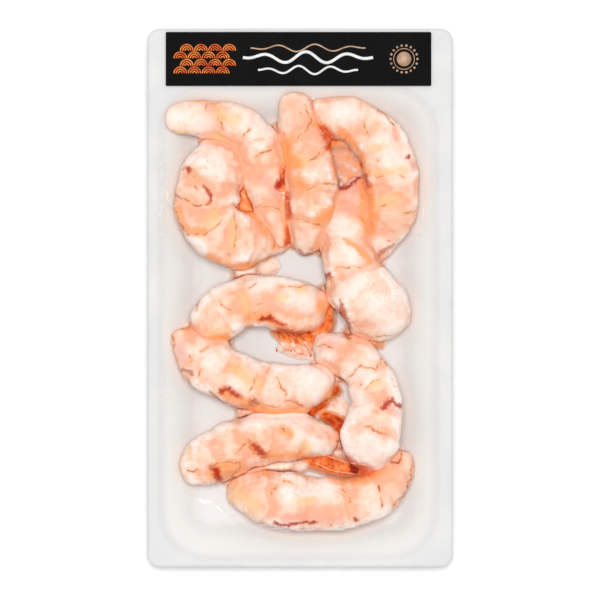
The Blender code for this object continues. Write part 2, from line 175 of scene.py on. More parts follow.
# How far marks stray from the lines given for them, and how far a fine line's field reaches
MARK_STRAY = 0.55 * MM
MARK_STRAY_SIZE = 2.4 * MM
MARK_WAVER = 0.22 * MM
MARK_WAVER_SIZE = 0.9 * MM
FINE_LINE = 0.72
FINE_SHARE = 0.90
FINE_REACH = 0.9 * MM
FINE_LIMIT = 6.0
TAPER = 0.55

# Shreds: how thin their tips are and how deep they are sunk, as shares of their thickness
STRAND_TIP = 0.35
STRAND_SUNK = 0.3

# Noise: the side of its lattice, and its seeds
NOISE_LATTICE = 32
SHRIMP_SEEDS = 10
POOL_SEED = 400
GLINT_SEED = 300
CRINKLE_SEED = 71

# Each shrimp from head to tail, in millimetres: x, y and half of the body's width. The belly lies to
# the left (1) or right (-1) of that path.
SHRIMPS = {
    "arc": (-1, (
        (-54, 72.4, 4.3), (-48.8, 72, 6.8), (-38, 72, 7.7), (-28, 71.2, 8.3), (-20.4, 66.8, 8.8),
        (-16, 59.2, 9.2), (-14.8, 50.4, 9), (-13.2, 41.2, 7.5), (-11.2, 33.2, 5.8), (-8.8, 26.4, 4.1),
        (-6.4, 20.4, 1.7),
    )),
    "coil": (1, (
        (-31.6, 62.4, 6.4), (-33.2, 54.4, 12), (-37.2, 44, 13.3), (-37.6, 34.4, 13.3),
        (-32.4, 25.6, 12.4), (-24, 22.8, 12.4), (-15.2, 22, 8.6), (-8.4, 22, 4.7), (-4, 22.4, 2.1),
    )),
    "upright": (1, (
        (-2.8, 82.4, 5.1), (-1.6, 75.2, 8.3), (0.8, 67.2, 8.8), (3.6, 58.4, 9.4), (5.2, 48, 10.3),
        (4.4, 38, 10.3), (3.2, 29.2, 8.6), (2.4, 22, 5.6), (2, 16.8, 2.6),
    )),
    "hook": (-1, (
        (3.6, 74.4, 5.1), (8.8, 73.6, 7.7), (17.2, 72.8, 8.8), (26, 68.8, 10.3), (32.8, 62, 11.1),
        (36.4, 52, 11.1), (37.6, 42, 11.1), (36.4, 32.4, 10.7), (33.6, 24, 7.7), (30.4, 17.6, 4.3),
        (28.4, 12.8, 1.7),
    )),
    "middle": (1, (
        (40, -14, 6.8), (34.4, -7.6, 12.4), (27.6, -0.4, 14.1), (21.6, 8.8, 12.4), (18.8, 17.6, 10.7),
        (18.4, 26.4, 9.4), (20, 36, 7.7), (22.4, 43.2, 5.4), (24, 48.4, 2.6),
    )),
    "shelf": (1, (
        (10.8, -5.6, 5.6), (4.8, -4.4, 9.8), (-4, -3.2, 11.6), (-13.6, -1.2, 10.7), (-22.4, -2, 10.3),
        (-31.2, -6, 11.1), (-37.6, -10.8, 8.6), (-42.4, -14, 3.9),
    )),
    "cradle": (-1, (
        (13.6, -33.6, 4.7), (8, -34.8, 8.6), (-0.8, -36, 9.8), (-11.2, -36, 9.8), (-21.2, -34, 10.7),
        (-31.2, -30, 11.1), (-40, -24, 11.1), (-44.8, -17.6, 8.6), (-45.6, -11.2, 4.7),
    )),
    "elbow": (1, (
        (24.8, -68, 5.6), (26.8, -60.8, 12.2), (28.4, -54, 12.8), (30.8, -44, 10.9), (29.6, -36, 10.5),
        (26, -28.4, 9.4), (18.4, -22.4, 8.6), (10.8, -20, 6.8), (4.8, -19.6, 3.9),
    )),
    "low": (-1, (
        (-47.2, -70.8, 4.3), (-42.4, -68, 8.6), (-35.2, -64, 10.7), (-26.4, -59.2, 10.7),
        (-16.8, -56.8, 9.8), (-6.8, -55.6, 9.4), (2.4, -55.6, 9.2), (9.6, -56.8, 7.3), (15.2, -59.2, 3.4),
    )),
    "base": (1, (
        (-29.6, -77.6, 3.4), (-24, -78.4, 7.3), (-15.2, -80, 10.7), (-4, -81.2, 12), (6.4, -82.4, 11.1),
        (16.8, -82.4, 10.7), (26.4, -80.4, 10.5), (34.8, -74.4, 10.3), (39.6, -67.2, 7.7),
        (42, -60.8, 3.4),
    )),
}

# Marks seen on each shrimp, in millimetres: what it is, half of its width and the line that it
# follows, x and y in turn. The pale marks are partly paler flesh and partly painted highlight; the
# orange and ember marks are partly juice stain and partly painted shade in crevices and on flanks.
MARKS = {
    "arc": (
        ("pale", 5.5, -24.4, 71.2, -18, 66.4), ("ember", 1.7, -5.2, 52, -6.4, 47.6, -8, 44.8),
        ("ember", 1, -5.2, 42, -4.8, 32, -5.6, 22), ("thread", 0.35, -37.6, 75.2, -37.2, 77.6, -34.4, 78),
        ("thread", 0.45, -32.4, 72, -31.6, 70, -30.8, 67.2), ("amber", 3.4, -31.2, 73.2, -25.6, 71.2),
        ("thread", 0.45, -20, 68, -21.2, 66, -22.4, 64), ("thread", 0.4, -18, 63.2, -14.8, 63.2),
        ("thread", 0.6, -17.6, 56.8, -15.6, 58, -11.6, 59.6),
        ("amber", 2.6, -33.6, 64.8, -29.6, 61.2, -27.6, 56.8), ("amber", 2.2, -49.2, 66.8, -45.6, 66),
        ("thread", 0.35, -15.2, 36.4, -11.2, 36.4, -6.8, 35.6),
        ("orange", 2, -5.6, 59.6, -6, 47.2, -5.2, 33.2, -5.6, 21.6),
        ("red", 1.9, -5.6, 50, -7.2, 47.2, -8.4, 44.8), ("rose", 2.5, -15.2, 47.2, -9.6, 43.2),
        ("pale", 6, -49.6, 71.2, -40, 70.4), ("pale", 4, -16.8, 72.8, -15.2, 69.2),
    ),
    "coil": (
        ("salmon", 4.5, -48.4, 40, -43.6, 35.2), ("pale", 5, -34.8, 55.2, -32, 50.4),
        ("ember", 1.2, -22.8, 38.8, -24.4, 36.4), ("red", 1.1, -45.6, 51.6, -44.4, 50.4),
        ("red", 0.6, -44, 49.2, -42, 47.2), ("thread", 0.45, -42, 44.8, -41.2, 42.8),
        ("red", 0.75, -38.4, 44.4, -37.2, 42.4, -35.2, 40.8, -35.6, 38.8, -36.8, 37.2),
        ("red", 0.7, -42.8, 37.2, -39.2, 36.8, -36, 37.6), ("thread", 0.4, -47.6, 40, -42.8, 37.6),
        ("plum", 0.9, -50, 42, -47.6, 40),
        ("orange", 1.6, -48.8, 35.6, -46.4, 29.2, -44, 27.2, -38.4, 26.8),
        ("thread", 0.55, -49.6, 35.2, -47.2, 28.4, -44.8, 26, -38, 25.6, -34.8, 28, -31.2, 30.8),
        ("amber", 2.8, -34.4, 33.6, -36.4, 29.6), ("thread", 0.4, -26.4, 34, -25.6, 26.4, -26.4, 19.6),
        ("amber", 1.6, -27.6, 32, -26.8, 20.8), ("plum", 0.7, -28.8, 16.6, -28.6, 16.4),
        ("orange", 1.8, -36, 16.8, -31.2, 14, -24, 12.8, -16.8, 13.2, -12.4, 15.6),
        ("thread", 0.7, -17.6, 33.6, -15.6, 30, -12, 26.4, -10.8, 24, -10.4, 20.8),
        ("orange", 2, -21.6, 34.4, -16.4, 32, -12.8, 27.2), ("orange", 1.6, -10.4, 20.8, -4.8, 22),
        ("plum", 0.7, -26.4, 37.2, -25.2, 35.2, -21.6, 34.8),
    ),
    "upright": (
        ("salmon", 3.6, -2.4, 77.6, 1.2, 71.2), ("salmon", 3, -3.6, 58.4, -2.4, 47.2),
        ("orange", 2.2, -3.6, 55.6, -1.2, 53.2), ("ember", 1.5, 9.6, 67.2, 12, 63.2, 12.4, 60.4),
        ("ember", 1, -4.8, 42, -4.4, 32), ("rose", 2.4, 5.6, 80.4, 8, 77.6),
        ("red", 0.6, 0.4, 74.4, 0.6, 74.2), ("thread", 0.5, 1.6, 76.8, 5.2, 70.8, 3.6, 68.4, -1.2, 64.4),
        ("orange", 1.6, 6, 70, 7.6, 68.8), ("thread", 0.5, 8, 58.8, 6, 56, 3.2, 55.2),
        ("amber", 3.2, -4.4, 55.2, 1.2, 54.4), ("orange", 2.8, -1.2, 46.4, 1.2, 44.4),
        ("thread", 0.6, 2.8, 42.8, 8, 46, 11.2, 46, 14.4, 45.2),
        ("thread", 0.45, -3.6, 32, 2.4, 30.8, 6.4, 29.2, 11.2, 28.4),
        ("orange", 2.8, 7.6, 30.8, 11.6, 34), ("plum", 0.9, -0.4, 19.2, 1.2, 17.2, 6, 18.4),
        ("orange", 1.2, 7.2, 21.2, 8, 16.8), ("orange", 2, -4.4, 63.2, -4.8, 49.2),
        ("orange", 1.6, 12.4, 63.2, 13.6, 55.2, 14, 48),
    ),
    "hook": (
        ("pale", 6, 34, 61.6, 39.6, 52), ("salmon", 5.5, 40, 38.4, 36.8, 29.6),
        ("ember", 1.6, 8.4, 68, 12, 65.6, 16, 62.4), ("ember", 0.9, 26, 49.2, 27.4, 44.8),
        ("plum", 0.45, 25.2, 80, 30.4, 76.4, 34.4, 72.8, 38.4, 67.2), ("rose", 1.3, 37.6, 67.2, 38.8, 64),
        ("red", 1, 43.2, 56.6, 43.4, 56), ("rose", 1.4, 44.8, 53.6, 45.2, 51.2),
        ("amber", 2.6, 29.6, 60.4, 32, 60), ("thread", 0.45, 26, 69.2, 27.2, 65.6),
        ("thread", 0.5, 30.8, 55.6, 31, 55.2), ("amber", 2.2, 31.2, 50, 36, 50.4, 41.6, 50.8),
        ("thread", 0.4, 30.8, 48, 33.2, 49.2), ("thread", 0.4, 39.6, 49.2, 41.6, 48),
        ("amber", 3, 31.2, 38, 37.2, 39.6), ("thread", 0.45, 32, 36.4, 34.4, 37.2),
        ("thread", 0.7, 41.6, 34, 45.6, 34.4), ("plum", 1, 31.2, 16.8, 34.4, 20, 37.2, 21.6),
        ("plum", 0.6, 35.2, 23.2, 35.4, 23), ("pale", 3.5, 27.2, 23.2, 31.6, 21.6),
        ("orange", 2, 16, 67.2, 20.8, 62.4, 24.8, 56.8, 27.2, 50.4), ("orange", 2.4, 8.4, 68, 12.4, 60.8),
        ("orange", 1.8, 28, 43.2, 29.2, 33.2, 28, 23.2), ("pale", 5, 16, 74.4, 20.8, 73.6),
    ),
    "middle": (
        ("pale", 5, 16, 30, 20.8, 15.2), ("ember", 1.4, 16.4, -9.6, 17.6, -5.2),
        ("ember", 1.5, 25.6, 47.6, 27.2, 40),
        ("red", 0.8, 16.4, 42.8, 20.8, 45.6, 25.2, 49.2, 27.6, 42.8),
        ("orange", 2.4, 25.6, 44.8, 26.4, 36.8, 26.4, 27.2), ("rose", 3.2, 21.6, 43.2, 20, 36),
        ("red", 0.5, 17.6, 23.6, 17.8, 23.4),
        ("orange", 1.3, 19.2, 22.8, 22.4, 20.8, 25.2, 17.6, 28, 14.8), ("red", 1.4, 10.8, 8.4, 12, 8.6),
        ("red", 0.8, 12.6, 9.2, 12.8, 8.8), ("thread", 0.4, 14.4, 11.6, 16.4, 12.6, 25.2, 12.4),
        ("thread", 0.4, 11.6, 7.6, 12.4, 3.6), ("red", 1.8, 16.8, -5, 17.4, -8.4, 18.6, -10.4),
        ("red", 0.8, 16.8, -2, 16, -6, 16.4, -9.6), ("thread", 0.5, 16.4, -0.8, 18, -5.6, 19.6, -8.8),
        ("amber", 3.4, 8.8, -4, 10.4, -8, 12.8, -11.2), ("thread", 0.4, 12.4, -8, 13.2, -10.8),
        ("thread", 0.35, 31.2, -14.8, 35.6, -14.8), ("pale", 7, 34.4, -5.6, 28.8, -0.8),
        ("pale", 5, 20.8, 3.2, 24.8, 7.2),
    ),
    "shelf": (
        ("orange", 2.6, 8.8, -3.2, 11.2, -8, 9.2, -12.4),
        ("ember", 1.4, -8, -12.8, -3.2, -14.4, 3.2, -14), ("salmon", 4.5, -20, -2.4, -12, -1.6),
        ("pale", 5, -3.2, 0.8, 3.2, -1.6), ("ember", 1, -16, -8.4, -10, -8.8, -6.4, -10.4),
        ("plum", 0.6, -31.8, -1, -31.2, -2.8), ("thread", 0.6, -31.2, -2.8, -29.6, -3.4, -27.6, -4.8),
        ("thread", 0.4, -40, -1.6, -41.6, -4.8), ("thread", 0.45, -20.4, 4, -17.6, 5.6),
        ("amber", 1.9, -7.6, 0.4, -5.6, 0.8), ("amber", 1.9, 0, 3.6, 2, 3.2),
        ("thread", 0.3, -8, 4.8, -1.2, 4.6, 3.6, 5.6), ("thread", 0.35, -16.4, -2.4, -14.8, -2.4),
        ("thread", 0.5, -18.2, -6, -18, -6.2), ("orange", 2.2, -19.2, -7.6, -12.8, -8, -9.6, -10.4),
        ("red", 1.1, -15.2, -8, -12, -8), ("orange", 3.2, -8, -11.6, -3.2, -14, 3.2, -13.2, 8.8, -11.2),
        ("orange", 1.4, -35.2, -16, -29.6, -15.2), ("amber", 3.4, -34.4, -14, -29.6, -14.4),
        ("amber", 2.4, -22.4, 0.8, -21.2, -4.8), ("pale", 3.4, -18.4, 5.2, -12, 5.6),
    ),
    "cradle": (
        ("pale", 3, -49.2, -19.2, -46.4, -22.4), ("pale", 3.6, -26.8, -33.2, -21.6, -36),
        ("ember", 1, 5.6, -45.2, 10.4, -41.2), ("orange", 2.4, -48.8, -11.6, -43.2, -10.8),
        ("red", 0.7, -50, -12.8, -46, -12.4, -41.6, -11.2),
        ("plum", 0.6, -51.2, -13.2, -50.8, -21.2, -48.8, -27.6),
        ("plum", 0.9, -48.8, -28, -44.8, -29.2, -43.6, -30.4),
        ("thread", 0.6, -44, -23.2, -42.8, -24.6, -44.4, -26.4),
        ("orange", 0.8, -39.6, -21.2, -36.8, -19.6), ("thread", 0.4, -40, -31.2, -39.2, -28.4),
        ("plum", 0.9, -35.8, -37.9, -32.8, -40.4, -30, -43.2, -28.8, -45.6),
        ("rose", 2.6, -28.8, -42, -24, -44), ("red", 1.3, -31.6, -37.2, -28.8, -36.4, -26.8, -38),
        ("red", 0.9, -26.8, -38, -23.6, -40), ("orange", 2.2, -30.4, -38, -24, -40.8, -20, -42.4),
        ("red", 1.8, -19.2, -41.8, -18.4, -42), ("thread", 0.6, -18, -32.8, -19.2, -36, -20.8, -37.6),
        ("thread", 0.5, -9.2, -32.4, -7.6, -36, -5.6, -37.2, -6, -39.2),
        ("thread", 0.7, -6, -41.2, -2.4, -41.8, 1.6, -43.6),
        ("thread", 0.4, -23.6, -40, -16.8, -43.2, -8.4, -43.2), ("amber", 3.4, -25.6, -28, -20.8, -33.6),
        ("amber", 1.8, -16.8, -33.2, -16, -36), ("orange", 1.8, -21.6, -45.2, -10, -45.2, 2, -45.6),
        ("orange", 1.8, 5.2, -45.6, 10, -40.8, 14, -36), ("rose", 2.6, -48, -18.8, -45.6, -25.6),
        ("pale", 6.5, 0, -32.8, 7.2, -33.6), ("pale", 4, -38.4, -21.6, -34.4, -25.6),
    ),
    "elbow": (
        ("pale", 3.4, 6.4, -20.4, 11.2, -22.4), ("pale", 4.6, 23.2, -29.6, 29.2, -32.8),
        ("ember", 1.5, 17.2, -62.4, 22, -66, 27.6, -68), ("thread", 0.45, 6.8, -19, 10.4, -19, 13.2, -20),
        ("thread", 0.5, 19.2, -31.2, 22, -29.2, 24, -26.8, 30.2, -28.8, 32.4, -24.4, 34.4, -26.6),
        ("thread", 0.35, 26.2, -36.2, 28.6, -33.9, 31.2, -32.8), ("amber", 2, 28.8, -35.2, 31.2, -34),
        ("red", 0.45, 24.3, -34.6, 24.4, -34.7), ("red", 1.2, 33.6, -44, 35.2, -41.2, 36.4, -40.4),
        ("red", 0.9, 36.4, -40.4, 38.4, -42.4, 40, -43.2), ("rose", 2.4, 34.4, -42.4, 37.6, -45.6),
        ("thread", 0.5, 30.4, -45, 30.8, -45.6),
        ("thread", 0.65, 26, -51.6, 28.8, -51.8, 30.8, -53.6, 34.8, -54.4),
        ("red", 0.6, 17.6, -15.2, 20.8, -16), ("red", 0.8, 4, -22, 4.4, -23.6),
        ("rose", 2.4, 8.8, -19.6, 15.2, -18.4), ("amber", 1.6, 32, -15.2, 34.8, -15.6),
        ("pale", 7.5, 26.4, -58.4, 28, -63.2), ("pale", 4.5, 23.2, -40, 25.6, -44),
    ),
    "low": (
        ("pale", 3.4, 1.2, -56.4, 7.2, -57.2), ("ember", 1, 6, -46.8, 12.8, -49.6, 16.8, -53.2),
        ("ember", 1.3, -34, -68, -33.2, -71.2), ("red", 0.6, -7.6, -51.6, -6.4, -53.2),
        ("orange", 1.6, -6.8, -52.4, -4, -54.8), ("red", 1.9, -17.6, -60, -14.8, -62.4),
        ("red", 1, -20, -57.2, -17.6, -60), ("orange", 2, -19.6, -58.4, -14.4, -62.8),
        ("thread", 0.45, -26, -62.4, -22.8, -59.2, -19.6, -57.2),
        ("orange", 2.8, -34.8, -70.4, -29.6, -67.6, -24.8, -67.2),
        ("thread", 0.5, -36.4, -67.2, -30, -65.6, -24, -66, -23.6, -68, -28, -71.6),
        ("red", 1.6, -35.2, -67.6, -33.6, -70, -32.4, -72.4), ("amber", 2.4, 1.6, -58.8, 3.2, -59.6),
        ("rose", 1.2, 7.2, -55.2, 8, -55.6), ("red", 0.5, 14, -57.2, 14.2, -57.4),
        ("red", 0.5, -44.8, -68.8, -42.8, -69.6, -41.2, -68.4), ("amber", 1.4, -43.6, -59.6, -43.2, -64),
        ("orange", 1.6, -14.4, -62.8, -4, -62.8, 8, -63.6),
        ("rose", 1.6, -44, -75.6, -35.2, -75.6, -26.4, -75.6),
        ("pale", 3, -20.8, -50.4, -10, -48.4, 2, -48.8),
    ),
    "base": (
        ("salmon", 5, 35.2, -70.4, 40, -74.4), ("salmon", 3, 4, -85.2, 16, -84.4),
        ("ember", 1.8, 20, -70.6, 26, -70.2, 32, -67), ("thread", 0.5, -6.4, -73.2, -3.2, -74),
        ("thread", 0.45, -9.6, -75.2, -11.6, -77.2, -11.2, -78.8), ("amber", 1.8, 0, -81.6, 5.2, -80.4),
        ("thread", 0.45, 16.8, -76.4, 20, -79.2, 20.2, -81.6, 18.4, -83.2),
        ("red", 0.6, 31.2, -75, 32.4, -77.2), ("red", 0.5, 32.4, -80, 32.8, -83.4),
        ("red", 1, 22.2, -88.2, 22.4, -89), ("red", 0.75, -10.4, -90, -4, -90.6, 5.2, -90, 6.4, -89.2),
        ("plum", 0.4, 12.2, -90.4, 12.4, -90.6),
        ("plum", 0.5, 44.8, -64.4, 44.2, -72, 41.6, -79.2, 37.6, -83.2),
        ("red", 0.6, 35.2, -66.2, 39.6, -66, 41, -62.8),
        ("orange", 2.2, 2, -67.2, 14, -72, 24.8, -72.8, 32, -68.8),
        ("amber", 4.5, -24.8, -78.4, -19.2, -83.2), ("rose", 2, -5.6, -88, 16, -88.8),
        ("orange", 0.8, -14.4, -70, -6, -68.8, 3.2, -70), ("pale", 4, -4, -78.4, 12, -77.6),
    ),
}

# Pools of juice in the hollows between shrimps, in millimetres: how deep the colour is (0 cloudy,
# 1 deep), how far the juice stands above the tray, half of its width and the line that it follows
POOLS = (
    (0.02, 2, 4.2, -24, 13.6, -18, 12.4, -12, 13.2), (0.3, 2.5, 3, 18, -15.6, 26, -17.2, 32, -17.6),
    (0.45, 5, 4.2, -22.4, 45.2, -23.2, 40.8, -22, 36), (0.35, 4, 3, -26, 35.2, -22.4, 35.6),
    (0.95, 6, 3.2, 7.6, 68, 12.4, 62.8), (0.6, 4.5, 3.4, 12.8, 61.6, 19.2, 63.2),
    (0.26, 2, 6.4, 16.4, 58.4, 21.2, 50.8), (0.8, 3, 2.2, 24.8, 57.6, 28.4, 48.8),
    (0.55, 6, 3.4, 9.6, -2.4, 11.2, -7.2, 11.2, -10.4, 8.8, -13.2),
    (0.9, 4.5, 3.6, -10, -8.4, -4.8, -12, 2.4, -14.4), (0.55, 3, 3.8, -8, -13.2, -2, -16, 4, -17.2),
    (0.12, 1.6, 3, -6.4, -19.6, 0, -22, 4.8, -20.8), (0.42, 3.5, 2, -19.6, -44.8, -8, -45.6, 1.6, -45.2),
    (0.68, 5, 2.6, 4.4, -45.2, 9.6, -41.6, 14.4, -36.8), (0.08, 1.4, 4.4, 14.8, -43.2, 18.8, -47.6),
    (0.75, 4.4, 3, 10.4, -47.2, 16.4, -50, 17.2, -53.2),
    (0.58, 4.4, 4.6, 4, -64.4, 14, -67.2, 25.6, -68.8, 34, -66),
    (1, 4.6, 2.8, 21.6, -68, 25.6, -69.2, 29.6, -67.6), (0.03, 3, 2.8, -12.8, -67.2, -4, -66, 1.2, -67.2),
    (0.3, 2.2, 2.4, -14.4, -70, -20, -70.8), (0.5, 4, 2.2, -4.4, 62, -5.2, 50, -5.2, 38),
    (0.95, 5, 1.6, -5.2, 50, -8, 44.8), (0.6, 3, 2.2, 28, 42.8, 29.2, 33.2, 27.6, 25.6),
)

# Loose shreds of tissue, in millimetres: half of the thickness, how bloody the shred becomes on
# its way from the first place to the last (0 not at all, 1 red), then the places, x and y in turn
STRANDS = (
    (0.3, 1.4, -6.6, -17.4, -8.2, -14.4, -9.8, -12.2), (0.34, 1.6, -2, -18.6, -4.4, -15.2, -6.8, -12.8),
    (0.28, 1.3, 1.2, -19.2, -1, -16, -3.6, -13.6), (0.32, 1.6, 3.2, -20.2, 1.8, -17, -0.2, -14.4),
    (1.3, 0, -8, -17.2, -5.6, -19.6, -3, -21), (1.5, 0.1, -3.6, -18, -0.8, -20.8, 2, -22.2),
    (1.1, 0.1, 1.6, -17.2, 3.6, -19.8, 4, -22.4), (0.45, 1.3, -9.8, -19.6, -9.2, -20.6, -9.4, -21.4),
    (0.4, 1.3, -4.2, -20.2, -3.6, -21, -3.4, -21.8), (0.5, 1.3, 4, -21.4, 4.4, -22.4, 4, -23.6),
    (0.24, 0.6, -25.2, 43.2, -22.4, 40.8, -20.8, 36.8), (0.26, 0.5, 6, -66, 13.6, -69.2, 24.8, -70.8),
    (0.24, 0.4, 10, -62.8, 18.4, -65.6, 30, -67.2),
)

# Painted highlights on the film, white streaks standing in for glints along its folds, in millimetres:
# half of the width, then the places, x and y in turn
FILM_GLINT_LINES = (
    (0.5, -55.6, 74, -55.2, 60, -55.6, 42, -55.2, 20), (0.5, -55.4, -28, -55.2, -37.6),
    (1.1, -54.4, 44, -52.8, 40, -50.4, 36.4), (1, -42.8, -78.8, -39.6, -81.2, -36, -82),
    (0.9, -33.6, -83.2, -29.6, -86, -26, -87.6), (0.9, -16, -90.8, -6, -92.8, 8, -92.8, 23.2, -91.6),
    (0.5, -9.2, 41.8, -4.4, 41.2), (0.5, -8.4, 40, -4, 39.2), (0.5, 44.8, 21.2, 48.4, 27.6, 49.2, 36),
    (0.5, 42, -56, 45.2, -64, 46.4, -72),
)

# Marks: the kinds that keep a field, how red the fine ones are (0 brown, 1 red), the field far outside
# a mark, and how fast marks fade on the underside
FIELD_KINDS = ("pale", "salmon", "rose", "amber", "orange", "ember", "thread", "plum", "red")
FINE_KINDS = {"thread": 0.0, "plum": 0.7, "red": 1.0}
FAR_OUTSIDE = -4.0
FADE_BELOW = 3.0

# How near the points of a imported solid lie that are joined, and how far flesh stays above the tray
MERGE_DISTANCE = 0.01 * MM
FLOOR_CLEARANCE = 0.1 * MM

# Studio: the room's even light and a softbox over the pack, which leans a little to its head
FLOOR_SIZE = 4.0
ROOM_LIGHT = 0.62
SOFTBOX_TILT = (0.0, 0.11, 1.0)
SOFTBOX_SPREAD = math.radians(28)
SOFTBOX_LIGHT = 1.85
CLIP_END = 100.0

# Colours, in sRGB
# Flesh: its painted highlights run to pearl and its painted shade to salmon
PEARL = "#fdeae1"
FLESH = "#f8d0b9"
SALMON = "#f1af8e"
BLUSH = "#ffc6ab"
AMBER = "#f4c084"
AMBER_HALO = "#f3bc90"
VEIN = "#e89c6c"
# Painted shade: pink for flesh closed in a crevice
CREVICE_SHADE_PINK = "#ffb896"
TANGERINE = "#ff9c58"
EMBER = "#d0480c"
THREAD_BROWN = "#c86a36"
BLOOD = "#b22c10"
ROSE = "#eb9f8c"
PLUM = "#b0503e"
CLOUDY = "#eaae90"
# Tray: the well's wall and floor are painted paler than the rim, painted light against the shade in the
# well
TRAY_RIM = "#d0d0d0"
LIT_TRAY_WALL = "#e8e9e6"
LIT_TRAY_FLOOR = "#dddcda"

# Marks of the flesh, stains and in the pale, orange and ember ones painted highlight and shade: the
# field, its colour, the bounds that it rises between, how strong it becomes and how ragged its edge is
BROAD_STAINS_AND_PAINTED_LIGHT = (
    ("salmon", SALMON, -0.5, 0.9, 0.65, 0.9),
    ("pale", PEARL, -0.5, 0.9, 0.75, 0.8),
    ("rose", ROSE, -0.6, 0.9, 0.6, 1.0),
    ("amber", AMBER, -0.4, 0.9, 0.65, 1.2),
    ("orange", TANGERINE, -0.7, 0.8, 0.8, 1.3),
    ("ember", EMBER, -0.9, 1.0, 0.9, 1.7),
)
FINE_STAINS = (
    ("thread", THREAD_BROWN, -0.1, 0.7, 0.6, 1.9),
    ("plum", PLUM, -0.1, 0.7, 0.6, 1.9),
    ("red", BLOOD, -0.6, 0.9, 0.9, 2.2),
)

# Flesh in a crevice that juice has soaked, a juice stain deepened by painted shade where the crevice is
# closed in: its colour, how closed in it is and how soaked, as ramps
SOAKED_AND_SHADED_TINTS = (
    (TANGERINE, (0.36, 0.66, 0.9), (0.15, 0.6)),
    (EMBER, (0.55, 0.85, 0.9), (0.5, 0.9)),
)


def linear(code):
    """A linear colour with full alpha from an sRGB hex value."""
    parts = [int(code[i : i + 2], 16) / 255 for i in (1, 3, 5)]
    return (*(v / 12.92 if v <= 0.04045 else ((v + 0.055) / 1.055) ** 2.4 for v in parts), 1.0)


def add(tree, kind, sockets=None, **settings):
    """Adds a node. Each socket is given a constant, or another node's output to link."""
    made = tree.nodes.new(kind)
    for name, value in settings.items():
        setattr(made, name, value)
    for name, value in (sockets or {}).items():
        if isinstance(value, bpy.types.NodeSocket):
            tree.links.new(value, made.inputs[name])
        else:
            made.inputs[name].default_value = value
    return made


def new_material(name):
    """A material with an empty tree, and that tree."""
    made = bpy.data.materials.new(name)
    made.use_nodes = True
    made.node_tree.nodes.clear()
    return made, made.node_tree


def surfaced(material, shader):
    """The material, its tree ended by the shader."""
    add(material.node_tree, "ShaderNodeOutputMaterial", {"Surface": shader})
    return material


def principled(tree, sockets):
    return add(tree, "ShaderNodeBsdfPrincipled", sockets).outputs["BSDF"]


def object_noise(tree, size, detail=2.0, seed=0.0):
    """Noise on the piece's own coordinates, from 0 to 1, with features of the given size in metres."""
    place = add(tree, "ShaderNodeTexCoord").outputs["Object"]
    moved = add(tree, "ShaderNodeMapping", {"Vector": place, "Location": (seed, seed, seed)})
    sockets = {"Vector": moved.outputs["Vector"], "Scale": 1.0 / size, "Detail": detail, "Roughness": 0.55}
    return add(tree, "ShaderNodeTexNoise", sockets).outputs["Fac"]


def ramped(tree, value, low, high, reach=1.0):
    """The value's smooth rise from 0 at low to reach at high."""
    sockets = {"Value": value, "From Min": low, "From Max": high, "To Min": 0.0, "To Max": reach}
    return add(tree, "ShaderNodeMapRange", sockets, interpolation_type="SMOOTHSTEP").outputs["Result"]


def sum_of(tree, first, second, share=1.0):
    """The first value plus a share of the second."""
    sockets = {0: second, 1: share, 2: first}
    return add(tree, "ShaderNodeMath", sockets, operation="MULTIPLY_ADD").outputs["Value"]


def centred(tree, noise):
    """The noise, whose middle is 0.5, moved to lie about zero."""
    return sum_of(tree, -0.5, noise)


def jittered(tree, value, noise, share):
    """The value moved up and down by a share of the noise."""
    return sum_of(tree, value, centred(tree, noise), share)


def calculated(tree, operation, *values):
    """The result of a Math node."""
    return add(tree, "ShaderNodeMath", dict(enumerate(values)), operation=operation).outputs[0]


def product(tree, first, second):
    return calculated(tree, "MULTIPLY", first, second)


def painted(tree, under, colour, factor):
    """The colour laid over what is under it."""
    return add(tree, "ShaderNodeMix", {0: factor, 6: under, 7: colour}, data_type="RGBA").outputs[2]


def layered(tree, colour, value, *layers):
    """Tints laid over the colour, each as the value rises from its low to its high bound."""
    for tint, low, high, *reach in layers:
        colour = painted(tree, colour, linear(tint), ramped(tree, value, low, high, *reach))
    return colour


def attribute(tree, name):
    return add(tree, "ShaderNodeAttribute", attribute_name=name).outputs["Fac"]


def bumped(tree, height, strength, distance):
    """A normal that follows fine relief."""
    sockets = {"Height": height, "Strength": strength, "Distance": distance}
    return add(tree, "ShaderNodeBump", sockets).outputs["Normal"]


def marked(tree, colour, jitter, stains):
    """The marks kept on the points laid over the colour, with ragged edges: stains, and in some broad
    marks painted highlight and shade.
    """
    for kind, tint, low, high, strength, rough in stains:
        field = sum_of(tree, attribute(tree, kind), jitter, rough)
        colour = layered(tree, colour, field, (tint, low, high, strength))
    return colour


